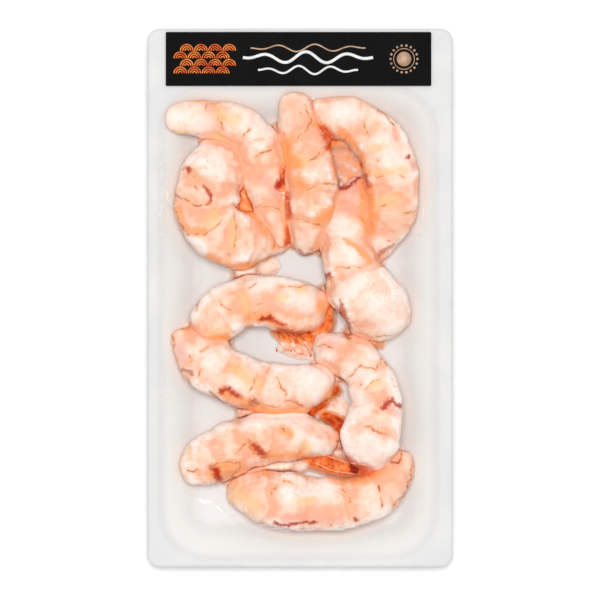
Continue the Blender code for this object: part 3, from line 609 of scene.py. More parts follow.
def raw_flesh():
    """Raw peeled shrimp: wet, dense, half clear muscle. Light and shade are painted into its colour: it is
    pearly where it crowns and on high relief, as painted highlight, and turns salmon on low relief and
    pink to orange where it goes down into a crevice, as painted shade, deepened where juice stains it;
    thin brown threads, red stains and amber patches lie in it."""
    material, tree = new_material("raw_shrimp_flesh")
    broad = object_noise(tree, 8.0 * MM, 2.0)
    mottle = object_noise(tree, 3.0 * MM, 3.0, 3.0)
    jitter = centred(tree, object_noise(tree, 1.2 * MM, 3.0, 7.0))
    # Painted highlight and shade: the tone rises with the crown and the relief, pearly high up and salmon
    # low down
    lit_tone = jittered(tree, attribute(tree, "crown"), broad, 0.6)
    lit_tone = jittered(tree, lit_tone, mottle, 0.9)
    lit_tone = sum_of(tree, lit_tone, attribute(tree, "relief"), 0.45)
    colour = layered(tree, linear(SALMON), lit_tone, (FLESH, -0.35, 0.35), (PEARL, 0.30, 0.90))
    colour = layered(tree, colour, mottle, (BLUSH, 0.54, 0.76, 0.5))
    # The pale marks are partly painted highlight, the orange and ember ones partly painted shade
    colour = marked(tree, colour, jitter, BROAD_STAINS_AND_PAINTED_LIGHT)
    vein = centred(tree, object_noise(tree, 4.0 * MM, 2.6, 13.0))
    vein = ramped(tree, calculated(tree, "ABSOLUTE", vein), 0.002, 0.032)
    veined = calculated(tree, "SUBTRACT", 1.0, vein)
    veined = product(tree, veined, ramped(tree, broad, 0.44, 0.64, 0.38))
    colour = painted(tree, colour, linear(VEIN), veined)
    # Painted shade: flesh closed in from the sky's light turns pink, and orange to ember where juice soaks
    # it too
    closed = sum_of(tree, attribute(tree, "closed"), jitter, 0.16)
    soaked = sum_of(tree, attribute(tree, "soaked"), jitter, 0.3)
    colour = layered(tree, colour, closed, (CREVICE_SHADE_PINK, 0.50, 0.90, 0.6))
    for tint, shut, wet in SOAKED_AND_SHADED_TINTS:
        juicy = product(tree, ramped(tree, closed, *shut), ramped(tree, soaked, *wet))
        colour = painted(tree, colour, linear(tint), juicy)
    colour = marked(tree, colour, jitter, FINE_STAINS)
    near = attribute(tree, "fine_near")
    colour = layered(tree, colour, sum_of(tree, near, jitter, 1.6), (AMBER_HALO, -0.7, 0.9, 0.5))
    across = calculated(tree, "ABSOLUTE", attribute(tree, "fine_across"))
    across = ramped(tree, sum_of(tree, across, jitter, 3.0), 0.0, 1.7)
    line = product(tree, calculated(tree, "SUBTRACT", 1.0, across), ramped(tree, near, 0.3, 0.6))
    broken = ramped(tree, object_noise(tree, 2.2 * MM, 2.0, 9.0), 0.36, 0.58)
    line = product(tree, line, sum_of(tree, 0.15, broken, 0.65))
    tint = painted(tree, linear(THREAD_BROWN), linear(BLOOD), attribute(tree, "fine_red"))
    colour = painted(tree, colour, tint, line)
    fibre = object_noise(tree, 0.9 * MM, 3.0, 11.0)
    sockets = {
        "Base Color": colour, "Roughness": 0.34, "IOR": 1.38, "Specular IOR Level": 0.14,
        "Subsurface Weight": 0.15, "Subsurface Radius": (1.0, 0.7, 0.55), "Subsurface Scale": 1.0 * MM,
        "Normal": bumped(tree, fibre, 0.22, 0.15 * MM),
    }
    return surfaced(material, principled(tree, sockets))


def cloudy_juice():
    """Thawed juice with head fat in it: a cloudy orange gel, deep orange where it stands thick between
    shrimps and pinkish where it only wets the tray."""
    material, tree = new_material("cloudy_shrimp_juice")
    swirl = object_noise(tree, 3.4 * MM, 3.0, 4.0)
    ragged = object_noise(tree, 1.3 * MM, 3.0, 8.0)
    deep = jittered(tree, jittered(tree, attribute(tree, "deep"), swirl, 0.6), ragged, 0.4)
    colour = layered(
        tree, linear("#ffe4d2"), deep,
        (CLOUDY, 0.0, 0.25), ("#ffa45c", 0.20, 0.45), ("#e4601c", 0.36, 0.66), ("#a42c06", 0.56, 0.86),
    )
    thick = jittered(tree, attribute(tree, "thick"), ragged, 0.4)
    colour = painted(tree, linear(LIT_TRAY_FLOOR), colour, ramped(tree, thick, 0.0, 0.6))
    sockets = {
        "Base Color": colour, "Roughness": 0.22, "IOR": 1.35, "Specular IOR Level": 0.06,
        "Subsurface Weight": 0.1, "Subsurface Radius": (1.0, 0.4, 0.2), "Subsurface Scale": 0.8 * MM,
        "Normal": bumped(tree, swirl, 0.4, 0.5 * MM),
    }
    return surfaced(material, principled(tree, sockets))


def loose_tissue():
    """Shreds of raw tissue: soft and wet, pale orange with blood in places."""
    material, tree = new_material("raw_tissue_shreds")
    patch = object_noise(tree, 2.6 * MM, 3.0, 2.0)
    blood = jittered(tree, attribute(tree, "blood"), patch, 0.8)
    colour = layered(tree, linear("#fddcc8"), patch, ("#f6b08a", 0.36, 0.60))
    colour = layered(tree, colour, blood, ("#e8662c", 0.35, 0.75), ("#bc3014", 0.70, 1.05))
    sockets = {
        "Base Color": colour, "Roughness": 0.3, "IOR": 1.38,
        "Subsurface Weight": 0.15, "Subsurface Radius": (1.0, 0.4, 0.25), "Subsurface Scale": 0.8 * MM,
    }
    return surfaced(material, principled(tree, sockets))


def barrier_film():
    """Clear vacuum skin film: extruded and drawn tight while warm, so it shows only by its gloss and a
    slight veil where it hangs free. White streaks laid on it are painted highlights, standing in for
    glints along its folds."""
    material, tree = new_material("clear_skin_film")
    crinkle = object_noise(tree, 1.8 * MM, 2.0, 5.0)
    streak = object_noise(tree, 2.4 * MM, 3.0, 6.0)
    normal = bumped(tree, crinkle, 0.2, 0.1 * MM)
    gloss = {"Base Color": linear("#ffffff"), "Roughness": 0.16, "IOR": 1.49, "Normal": normal}
    clear = add(tree, "ShaderNodeBsdfTransparent", {"Color": (1.0, 1.0, 1.0, 1.0)}).outputs["BSDF"]
    facing = add(tree, "ShaderNodeFresnel", {"IOR": 1.2, "Normal": normal}).outputs["Fac"]
    share = sum_of(tree, 0.003, facing, 0.008)
    # Painted highlight: white laid on along the glint lines
    glint = jittered(tree, attribute(tree, "glint"), streak, 0.7)
    share = sum_of(tree, share, ramped(tree, glint, 0.20, 1.10), 0.45)
    mixed = add(tree, "ShaderNodeMixShader", {0: share, 1: clear, 2: principled(tree, gloss)})
    return surfaced(material, mixed.outputs["Shader"])


def formed_plastic():
    """White polypropylene sheet, formed over a tool with heat: satin and even on the rim. The well's wall
    and floor are painted paler than the rim, painted light that lifts the shade falling in the well."""
    material, tree = new_material("thermoformed_white_polypropylene")
    wave = object_noise(tree, 22.0 * MM, 2.0, 1.0)
    grain = object_noise(tree, 0.8 * MM, 2.0, 2.0)
    # Painted light: the well's wall and floor are paler than the rim
    well = attribute(tree, "well")
    colour = layered(tree, linear(TRAY_RIM), well, (LIT_TRAY_WALL, 0.0, 1.0), (LIT_TRAY_FLOOR, 1.9, 3.2))
    colour = layered(tree, colour, wave, ("#e6e3dd", 0.40, 0.75, 0.3))
    sockets = {
        "Base Color": colour, "Roughness": 0.42, "IOR": 1.49, "Specular IOR Level": 0.3,
        "Normal": bumped(tree, sum_of(tree, wave, grain, 0.06), 0.3, 0.6 * MM),
    }
    return surfaced(material, principled(tree, sockets))


def printed_card():
    """Black coated card: calendered board under a flat black ink, with a trace of fibre in its sheen."""
    material, tree = new_material("black_coated_card")
    fibre = object_noise(tree, 0.7 * MM, 4.0, 1.0)
    cloud = object_noise(tree, 18.0 * MM, 2.0, 4.0)
    colour = layered(tree, linear("#040404"), cloud, ("#0a0909", 0.35, 0.7))
    sockets = {
        "Base Color": colour, "Roughness": 0.55, "Specular IOR Level": 0.05,
        "Normal": bumped(tree, fibre, 0.15, 0.05 * MM),
    }
    return surfaced(material, principled(tree, sockets))


def printing_ink(name, deep, light):
    """Offset ink on coated card: a flat film of colour, slightly uneven where the ink took."""
    material, tree = new_material(name)
    patch = object_noise(tree, 3.0 * MM, 2.0, 2.0)
    colour = layered(tree, linear(deep), patch, (light, 0.3, 0.7))
    sockets = {"Base Color": colour, "Roughness": 0.5, "Specular IOR Level": 0.15}
    return surfaced(material, principled(tree, sockets))


def studio_paper():
    """Seamless white paper: matt and even."""
    material, tree = new_material("seamless_white_paper")
    tooth = object_noise(tree, 2.0 * MM, 2.0)
    colour = layered(tree, linear("#fbfbfb"), tooth, ("#fdfdfd", 0.3, 0.7))
    sockets = {"Base Color": colour, "Roughness": 0.9, "Specular IOR Level": 0.1}
    return surfaced(material, principled(tree, sockets))


def noise_at(points, size, seed):
    """Smooth noise from -1 to 1 at each point, with features of the given size."""
    values = np.random.default_rng(seed).uniform(-1.0, 1.0, (NOISE_LATTICE,) * 3)
    scaled = points / size
    cell = np.floor(scaled).astype(int)
    part = scaled - cell
    part = part * part * (3 - 2 * part)
    total = np.zeros(len(points))
    for corner in itertools.product((0, 1), repeat=3):
        weight = np.prod(np.where(corner, part, 1.0 - part), axis=1)
        i, j, k = ((cell + corner) % NOISE_LATTICE).T
        total += weight * values[i, j, k]
    return total


def smooth_path(stations):
    """A curve through the stations, as many points closely spaced."""
    knots = np.array(stations) * MM
    knots = np.vstack([2 * knots[0] - knots[1], knots, 2 * knots[-1] - knots[-2]])
    share = (np.arange(PATH_STEPS) / PATH_STEPS)[:, None]
    path = []
    for before, start, end, after in zip(knots, knots[1:], knots[2:], knots[3:]):
        slope_in = (end - before) / 2
        slope_out = (after - start) / 2
        cubic = 2 * start - 2 * end + slope_in + slope_out
        square = -3 * start + 3 * end - 2 * slope_in - slope_out
        path.extend(((cubic * share + square) * share + slope_in) * share + start)
    return np.array([*path, knots[-2]])


def body_places(points, path):
    """For each point its distance along the body, and its distance to the left as a share of the
    body's half width."""
    plan = path[:, :2]
    ahead = np.gradient(plan, axis=0)
    ahead /= np.hypot(*ahead.T)[:, None]
    steps = np.hypot(*np.diff(plan, axis=0).T)
    run = np.concatenate(([0.0], np.cumsum(steps)))
    apart = ((points[:, None, :2] - plan[None]) ** 2).sum(axis=2)
    nearest = apart.argmin(axis=1)
    offset = points[:, :2] - plan[nearest]
    along = run[nearest] + (offset * ahead[nearest]).sum(axis=1)
    left = ahead[nearest, 0] * offset[:, 1] - ahead[nearest, 1] * offset[:, 0]
    return along, np.clip(left / path[nearest, 2], -SIDE_LIMIT, SIDE_LIMIT), run[-1]


def strayed(plan, seed):
    """The places moved a little by noise, so that what is drawn by them wanders."""
    flat = np.column_stack([plan, np.zeros(len(plan))])
    moved = plan.copy()
    for axis in (0, 1):
        moved[:, axis] += MARK_STRAY * noise_at(flat, MARK_STRAY_SIZE, seed + axis)
        moved[:, axis] += MARK_WAVER * noise_at(flat, MARK_WAVER_SIZE, seed + 2 + axis)
    return moved


def line_distance(plan, line):
    """Each place's distance from a line, its distance across it with a sign for the side, and how far
    along the line it lies as a share. Beyond the ends the distance across stays that from the line
    drawn on."""
    least = np.full(len(plan), np.inf)
    across = np.zeros(len(plan))
    share = np.zeros(len(plan))
    places = np.reshape(line, (-1, 2)) * MM
    last = len(places) - 2
    for i, (start, end) in enumerate(zip(places, places[1:])):
        run = end - start
        length = np.hypot(*run)
        free = (plan - start) @ run / length**2
        held = np.clip(free, 0.0, 1.0)
        away = np.hypot(*(plan - start - held[:, None] * run).T)
        side = ((plan - start) @ (-run[1], run[0])) / length
        beyond = ((free < 0.0) & (i == 0)) | ((free > 1.0) & (i == last))
        nearer = away < least
        least = np.where(nearer, away, least)
        across = np.where(nearer, np.where(beyond, side, np.copysign(away, side)), across)
        share = np.where(nearer, (i + held) / (last + 1), share)
    return least, across, share


def inside_line(plan, line, half_width):
    """How far inside a line of that half width in millimetres each place lies, as a share of it."""
    return 1.0 - line_distance(plan, line)[0] / (half_width * MM)


def mark_fields(points, up, marks, seed):
    """For each kind of mark how far inside it each point is, 1 on its line and 0 at its edge, and for
    the fine lines the distance across them, their nearness and their redness."""
    plan = strayed(points[:, :2], seed)
    fields = {kind: np.full(len(points), FAR_OUTSIDE) for kind in FIELD_KINDS}
    near = np.full(len(points), -1.0)
    across = np.full(len(points), FINE_LIMIT)
    red = np.zeros(len(points))
    for kind, half_width, *line in marks:
        away, side, share = line_distance(plan, line)
        if kind in FINE_KINDS and half_width < FINE_LINE:
            width = half_width * FINE_SHARE * MM * (1.0 - TAPER * (2.0 * share - 1.0) ** 2)
            closer = 1.0 - away / FINE_REACH
            better = closer > near
            near = np.where(better, closer, near)
            across = np.where(better, np.clip(side / width, -FINE_LIMIT, FINE_LIMIT), across)
            red = np.where(better, FINE_KINDS[kind], red)
        else:
            fields[kind] = np.maximum(fields[kind], 1.0 - away / (half_width * MM))
    below = np.clip(-up, 0.0, 1.0) * FADE_BELOW
    fields = {kind: np.maximum(field - below, FAR_OUTSIDE) for kind, field in fields.items()}
    return fields | {"fine_near": near - below, "fine_across": across, "fine_red": red}


def flesh_relief(points, name, seed):
    """The relief over one shrimp: its segments, the ribs of its belly side, lumps and dimples."""
    belly, stations = SHRIMPS[name]
    along, left, length = body_places(points, smooth_path(stations))
    first = END_REACH * stations[1][2] * MM
    step = (length - END_REACH * stations[-2][2] * MM - first) / SEGMENTS
    wander = GROOVE_WANDER * noise_at(points, WANDER_SIZE, seed)
    place = (along + GROOVE_BOW * left**2 + wander - first) / step
    seam = np.round(place)
    off = (place - seam) * step
    inner = (seam >= 1) & (seam <= SEGMENTS - 1)
    uneven = UNEVEN_LEAST + UNEVEN_SWING * noise_at(points, UNEVEN_SIZE, seed + 5)
    nearness = inner * uneven * np.exp(-((off / GROOVE_WIDTH) ** 2))
    lap = inner * np.tanh(-off / GROOVE_WIDTH) * np.exp(-np.abs(off) / (step / LAPS_PER_SEGMENT))
    ribs = np.sin(2 * math.pi * along / RIB_PITCH + RIB_WAVER * noise_at(points, WANDER_SIZE, seed + 1))
    under_side = np.clip(belly * left - BELLY_FROM, 0.0, BELLY_REACH)
    relief = STEP_DEPTH * uneven * lap - GROOVE_DEPTH * nearness
    relief -= BULGE_DEPTH * inner * (0.5 + 0.5 * np.cos(2 * math.pi * (place - seam)))
    relief += RIB_DEPTH * ribs * under_side / BELLY_REACH
    for depth, size, shift in RELIEF_NOISES:
        relief += depth * noise_at(points, size, seed + shift)
    return relief


def dress(mesh, material):
    mesh.materials.clear()
    mesh.materials.append(material)


def new_object(name, data, material=None):
    """An object of the scene with the data and the material."""
    made = bpy.data.objects.new(name, data)
    bpy.context.scene.collection.objects.link(made)
    if material:
        dress(data, material)
    return made


def mesh_from(work, name):
    mesh = bpy.data.meshes.new(name)
    work.to_mesh(mesh)
    work.free()
    return mesh


def modified(piece, kind, **settings):
    """Gives the piece a modifier with these settings."""
    made = piece.modifiers.new(kind.lower(), kind)
    for name, value in settings.items():
        setattr(made, name, value)
    return made


def applied(piece):
    """The piece with its modifiers made part of its mesh."""
    bpy.context.view_layer.update()
    shape = piece.evaluated_get(bpy.context.evaluated_depsgraph_get())
    mesh = bpy.data.meshes.new_from_object(shape)
    piece.modifiers.clear()
    rough = piece.data
    piece.data = mesh
    bpy.data.meshes.remove(rough)
    mesh.name = piece.name
    return piece


def points_of(mesh):
    flat = np.empty(len(mesh.vertices) * 3)
    mesh.vertices.foreach_get("co", flat)
    return flat.reshape(-1, 3)


def normals_of(mesh):
    flat = np.empty(len(mesh.vertices) * 3, np.float32)
    mesh.vertex_normals.foreach_get("vector", flat)
    return flat.reshape(-1, 3).astype(float)


def set_points(mesh, points):
    mesh.vertices.foreach_set("co", points.ravel())
    mesh.update()


def store(mesh, name, values):
    """Keeps a number for each point of the mesh, for its material."""
    layer = mesh.attributes.new(name, "FLOAT", "POINT")
    layer.data.foreach_set("value", np.asarray(values).astype(np.float32))


def merged_copy(name, node):
    """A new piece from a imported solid, whose loose triangles are joined."""
    work = bmesh.new()
    work.from_mesh(frame["nodes"][node].data)
    bmesh.ops.remove_doubles(work, verts=work.verts, dist=MERGE_DISTANCE)
    return new_object(name, mesh_from(work, name))


def search_tree(meshes):
    """A tree over the meshes' surfaces, for rays."""
    points, faces = [], []
    for mesh in meshes:
        start = len(points)
        points.extend(v.co for v in mesh.vertices)
        faces.extend([start + i for i in face.vertices] for face in mesh.polygons)
    return BVHTree.FromPolygons(points, faces)


def room_to_neighbours(points, normals, tree):
    """How far each point may move out before it meets another shrimp half way."""
    room = np.full(len(points), NEIGHBOUR_REACH)
    for i, (point, normal) in enumerate(zip(points, normals)):
        away = tree.ray_cast(Vector(point), Vector(normal), 2 * NEIGHBOUR_REACH)[3]
        if away is not None:
            room[i] = away / 2 + NEIGHBOUR_TOUCH
    return room


def evened(mesh, values, rounds):
    """The values of the mesh's points drawn towards those of the points beside them."""
    ends = np.empty(len(mesh.edges) * 2, int)
    mesh.edges.foreach_get("vertices", ends)
    first, second = ends.reshape(-1, 2).T
    count = np.bincount(ends, minlength=len(values))
    for _ in range(rounds):
        total = np.bincount(first, values[second], len(values))
        total += np.bincount(second, values[first], len(values))
        values = 0.5 * values + 0.5 * total / np.maximum(count, 1)
    return values


def make_flesh(name, seed, material):
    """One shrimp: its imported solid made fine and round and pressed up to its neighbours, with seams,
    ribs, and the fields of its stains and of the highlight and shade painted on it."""
    piece = merged_copy(name + "_flesh", "shrimp_" + name)
    modified(piece, "REMESH", mode="VOXEL", voxel_size=FLESH_VOXEL)
    modified(piece, "SMOOTH", factor=0.5, iterations=FLESH_SMOOTHING)
    applied(piece)
    mesh = piece.data
    dress(mesh, material)
    points, normals = points_of(mesh), normals_of(mesh)
    others = [frame["nodes"]["shrimp_" + other].data for other in SHRIMPS if other != name]
    room = room_to_neighbours(points, normals, search_tree(others))
    relief = flesh_relief(points, name, seed)
    fields = mark_fields(points, normals[:, 2], MARKS[name], seed)
    from_line = np.maximum(1.0 - fields["fine_near"], 0.0) * FINE_REACH / THREAD_REACH
    relief -= THREAD_DEPTH * np.exp(-(from_line**2))
    pressed = PRESSED_OUT * np.exp(-((room / PRESSED_REACH) ** 2))
    swell = evened(mesh, np.minimum(FLESH_SWELL + relief + pressed, room), SWELL_ROUNDS)
    points += normals * np.minimum(swell, room)[:, None]
    low = tray_top(points[:, 0], points[:, 1]) + FLOOR_CLEARANCE
    points[:, 2] = np.maximum(points[:, 2], low)
    set_points(mesh, points)
    mesh.shade_smooth()
    # The relief is kept for the material, which paints shade on its low places and highlight on its high
    # ones
    store(mesh, "relief", relief / RELIEF_UNIT)
    for kind, field in fields.items():
        store(mesh, kind, field)
    return piece


def inside_well(x, y):
    """How far in from the well's edge each place lies."""
    out_x = np.abs(x - WELL_CENTRE[0]) - (WELL_WIDTH / 2 - WELL_CORNER)
    out_y = np.abs(y - WELL_CENTRE[1]) - (WELL_LENGTH / 2 - WELL_CORNER)
    beyond = np.hypot(np.maximum(out_x, 0.0), np.maximum(out_y, 0.0))
    return WELL_CORNER - beyond - np.minimum(np.maximum(out_x, out_y), 0.0)


def tray_top(x, y):
    """The height of the tray's top surface inside the well and on the rim."""
    return np.interp(inside_well(x, y), (0.0, WALL_RUN), (RIM_TOP, SHEET))


def rounded_outline(width, length, corner, centre, z):
    """The points of a rectangle with round corners, anticlockwise."""
    points = []
    for quarter, (side_x, side_y) in enumerate(((1, 1), (-1, 1), (-1, -1), (1, -1))):
        hub_x = centre[0] + side_x * (width / 2 - corner)
        hub_y = centre[1] + side_y * (length / 2 - corner)
        for step in range(CORNER_STEPS + 1):
            angle = (quarter + step / CORNER_STEPS) * math.pi / 2
            points.append((hub_x + corner * math.cos(angle), hub_y + corner * math.sin(angle), z))
    return points


def rounded_bend(before, corner, after, reach):
    """Points of a smooth bend in a profile, which leaves the straight lines at the given reach."""
    before, corner, after = (np.array(p) for p in (before, corner, after))
    start = corner + (before - corner) / np.hypot(*(before - corner)) * reach
    end = corner + (after - corner) / np.hypot(*(after - corner)) * reach
    shares = [step / ROUND_STEPS for step in range(ROUND_STEPS + 1)]
    return [(1 - s) ** 2 * start + 2 * s * (1 - s) * corner + s**2 * end for s in shares]


def make_tray(material):
    """The formed sheet with its bends rounded as heat forming leaves them."""
    foot, rim = (0.0, RIM_TOP - LIP_DROP), (0.0, RIM_TOP)
    outer = [foot, *rounded_bend(foot, rim, (2 * LIP_ROUND, RIM_TOP), LIP_ROUND)]
    wall = [
        *rounded_bend((-2 * EDGE_ROUND, RIM_TOP), rim, (WALL_RUN, SHEET), EDGE_ROUND),
        *rounded_bend(rim, (WALL_RUN, SHEET), (2 * WALL_RUN, SHEET), FOOT_ROUND),
    ]
    pack = (PACK_WIDTH, PACK_LENGTH, PACK_CORNER, (0.0, 0.0))
    well = (WELL_WIDTH, WELL_LENGTH, WELL_CORNER, WELL_CENTRE)
    work = bmesh.new()
    loops = []
    for profile, (width, length, corner, centre) in ((outer, pack), (wall, well)):
        for inside, z in profile:
            size = (width - 2 * inside, length - 2 * inside, corner - inside)
            loops.append([work.verts.new(p) for p in rounded_outline(*size, centre, z)])
    for lower, upper in zip(loops, loops[1:]):
        for i, corner in enumerate(lower):
            j = (i + 1) % len(lower)
            work.faces.new((corner, lower[j], upper[j], upper[i]))
    work.faces.new(loops[-1])
    bmesh.ops.recalc_face_normals(work, faces=work.faces)
    work.normal_update()
    if sum(face.normal.z * face.calc_area() for face in work.faces) < 0:
        bmesh.ops.reverse_faces(work, faces=work.faces)
    tray = new_object("formed_tray", mesh_from(work, "formed_tray"), material)
    modified(tray, "SOLIDIFY", thickness=SHEET, offset=-1.0)
    applied(tray)
    tray.data.shade_smooth()
    x, y, _ = points_of(tray.data).T
    # How far into the well each point lies, for the painted light that makes the well paler
    store(tray.data, "well", inside_well(x, y) / (2 * EDGE_ROUND) + WELL_START)
    return tray


def spread(values, rounds, pick):
    """Each value of a grid replaced by the greatest or the least near it."""
    for turn in range(rounds):
        wide = values.copy()
        wide[1:] = pick(wide[1:], values[:-1])
        wide[:-1] = pick(wide[:-1], values[1:])
        tall = wide if turn % 2 else values
        both = wide.copy()
        both[:, 1:] = pick(both[:, 1:], tall[:, :-1])
        both[:, :-1] = pick(both[:, :-1], tall[:, 1:])
        values = both
    return values


def blurred(values, rounds):
    """A grid's values, each drawn to the mean of the four beside it, some times over."""
    values = values.copy()
    for _ in range(rounds):
        around = values[2:, 1:-1] + values[:-2, 1:-1] + values[1:-1, 2:] + values[1:-1, :-2]
        values[1:-1, 1:-1] = 0.5 * values[1:-1, 1:-1] + around / 8
    return values


class HeightMap:
    """The heights of what lies in the pack, on an even grid over the whole of it."""

    def __init__(self, pieces):
        half_x, half_y = PACK_WIDTH / 2 - FILM_MARGIN, PACK_LENGTH / 2 - FILM_MARGIN
        self.xs = np.arange(-half_x, half_x + MAP_CELL, MAP_CELL)
        self.ys = np.arange(-half_y, half_y + MAP_CELL, MAP_CELL)
        self.bare = tray_top(self.xs[:, None], self.ys[None, :])
        self.tops = self.bare.copy()
        tree = search_tree([piece.data for piece in pieces])
        down = Vector((0, 0, -1))
        for i, x in enumerate(self.xs):
            for j, y in enumerate(self.ys):
                hit = tree.ray_cast(Vector((x, y, LOOK_DOWN_FROM)), down)[0]
                if hit:
                    self.tops[i, j] = max(self.tops[i, j], hit.z)
        self.juice = np.zeros_like(self.bare)
        self.deep = np.zeros_like(self.bare)

    def surface(self):
        """The top of what lies uppermost, juice and bare tray too."""
        return np.maximum(self.tops, np.maximum(self.juice, self.bare))

    def at(self, x, y, values):
        """A map's values at the places, drawn straight between those of its grid."""
        u = np.clip((x - self.xs[0]) / MAP_CELL, 0, len(self.xs) - GRID_GUARD)
        v = np.clip((y - self.ys[0]) / MAP_CELL, 0, len(self.ys) - GRID_GUARD)
        i, j = u.astype(int), v.astype(int)
        u, v = u - i, v - j
        low = values[i, j] * (1 - v) + values[i, j + 1] * v
        high = values[i + 1, j] * (1 - v) + values[i + 1, j + 1] * v
        return low * (1 - u) + high * u

    def openness(self, points):
        """The share of the sky's light that reaches each point over what stands round it."""
        x, y, z = points.T
        total = np.zeros(len(points))
        for turn in range(OPEN_DIRECTIONS):
            angle = 2 * math.pi * (turn + 0.5) / OPEN_DIRECTIONS
            horizon = np.zeros(len(points))
            for step in range(1, OPEN_STEPS + 1):
                away = OPEN_REACH * (step / OPEN_STEPS) ** OPEN_STEP_POWER
                rise = self.at(x + away * math.cos(angle), y + away * math.sin(angle), self.tops) - z
                horizon = np.maximum(horizon, rise / away)
            total += 1.0 / (1.0 + horizon**2)
        return total / OPEN_DIRECTIONS

    def crown(self, points):
        """How far each point stands above what is round it, as a share of a crown's height."""
        rounds = round(2 * (CROWN_REACH / MAP_CELL) ** 2)
        around = self.at(points[:, 0], points[:, 1], blurred(self.tops, rounds))
        return (points[:, 2] - around) / CROWN_HEIGHT


def fill_with_juice(heights):
    """Works out where juice stands: in crevices between shrimps and in the pools."""
    flesh = np.where(heights.tops > heights.bare + MM, heights.tops, 0.0)
    bridged = spread(spread(flesh, CREVICE_ROUNDS, np.maximum), CREVICE_ROUNDS, np.minimum)
    gap = (bridged - heights.tops > CREVICE_LEAST) & (bridged > heights.bare + 2 * CREVICE_LEAST)
    level = np.where(gap, CREVICE_FILL * (bridged - heights.bare), 0.0)
    deep = np.where(gap, CREVICE_DEPTH, 0.0)
    x, y = np.meshgrid(heights.xs, heights.ys, indexing="ij")
    plan = strayed(np.column_stack([x.ravel(), y.ravel()]), POOL_SEED)
    for depth, rise, half_width, *line in POOLS:
        inside = inside_line(plan, line, half_width).reshape(x.shape)
        fill = rise * MM * np.clip(inside / JUICE_EDGE, 0.0, 1.0) ** 0.5
        level = np.maximum(level, np.where(inside > 0.0, fill, 0.0))
        share = np.clip(POOL_DEEPENING * inside, 0.0, 1.0)
        deep = np.where(inside > 0.0, deep + (depth - deep) * share, deep)
    level = blurred(level, JUICE_SMOOTH_ROUNDS)
    heights.juice = heights.bare - JUICE_SUNK + level
    heights.deep = blurred(deep, DEEP_SMOOTH_ROUNDS)
    heights.soaked = blurred(spread(deep, SOAK_REACH, np.maximum), SOAK_ROUNDS)
    return heights


def make_juice(heights, material):
    """The juice as one closed body for each place where it stands: its top, its foot on the tray and
    its sides, which go a little into the flesh."""
    hidden = heights.tops > heights.juice + JUICE_HIDDEN
    wet = heights.juice > heights.bare - JUICE_SHORE
    wet &= ~(spread(hidden, JUICE_INTO_FLESH, np.logical_and))
    cell = wet[:-1, :-1] & wet[1:, :-1] & wet[:-1, 1:] & wet[1:, 1:]
    rows = len(heights.ys)
    corners = np.argwhere(cell)
    first = corners[:, 0] * rows + corners[:, 1]
    faces = np.stack([first, first + rows, first + rows + 1, first + 1], axis=1)
    used, faces = np.unique(faces, return_inverse=True)
    i, j = used // rows, used % rows
    foot = heights.bare[i, j] - JUICE_FOOT
    work = bmesh.new()
    low = [work.verts.new(p) for p in zip(heights.xs[i], heights.ys[j], foot)]
    for corner_set in faces.reshape(-1, 4):
        work.faces.new([low[k] for k in corner_set[::-1]])
    raised = bmesh.ops.extrude_face_region(work, geom=list(work.faces), use_keep_orig=True)["geom"]
    tops = heights.juice[i, j]
    places = {(vert.co.x, vert.co.y): z for vert, z in zip(low, tops)}
    for vert in raised:
        if isinstance(vert, bmesh.types.BMVert):
            vert.co.z = places[vert.co.x, vert.co.y]
    bmesh.ops.recalc_face_normals(work, faces=work.faces)
    juice = new_object("pooled_juice", mesh_from(work, "pooled_juice"), material)
    modified(juice, "SMOOTH", factor=0.5, iterations=3)
    applied(juice)
    juice.data.shade_smooth()
    x, y, z = points_of(juice.data).T
    store(juice.data, "deep", heights.at(x, y, heights.deep))
    store(juice.data, "thick", (z - tray_top(x, y)) / MM)
    return juice


def growing_tree(name, **inputs):
    """An empty Geometry Nodes tree, with inputs of each kind by name: the tree, what it is given and
    where its result goes."""
    tree = bpy.data.node_groups.new(name, "GeometryNodeTree")
    face = tree.interface
    face.new_socket("Base", in_out="INPUT", socket_type="NodeSocketGeometry")
    for kind, labels in inputs.items():
        for label in labels.split(", "):
            face.new_socket(label, in_out="INPUT", socket_type="NodeSocket" + kind)
    face.new_socket("Made", in_out="OUTPUT", socket_type="NodeSocketGeometry")
    given = tree.nodes.new("NodeGroupInput").outputs
    return tree, given, tree.nodes.new("NodeGroupOutput").inputs["Made"]


def close_tree(tree, given, result, made):
    """Ends a tree: what it made becomes real, is given its material and goes out."""
    real = add(tree, "GeometryNodeRealizeInstances", {"Geometry": made}).outputs["Geometry"]
    dressed = add(tree, "GeometryNodeSetMaterial", {"Geometry": real, "Material": given["Material"]})
    tree.links.new(dressed.outputs["Geometry"], result)
    return tree


def close_print(tree, given, result, made):
    """Ends a tree whose print is moved to its place on the card."""
    moved = add(tree, "GeometryNodeTransform", {"Geometry": made, "Translation": given["Place"]})
    return close_tree(tree, given, result, moved.outputs["Geometry"])


def grown(name, tree, values, base=None):
    """A piece that the tree makes from its base, as a plain mesh."""
    piece = new_object(name, base or bpy.data.meshes.new(name))
    growth = modified(piece, "NODES", node_group=tree)
    for item in tree.interface.items_tree:
        if item.in_out == "INPUT" and item.name in values:
            growth[item.identifier] = values[item.name]
    applied(piece)
    piece.data.shade_smooth()
    return piece


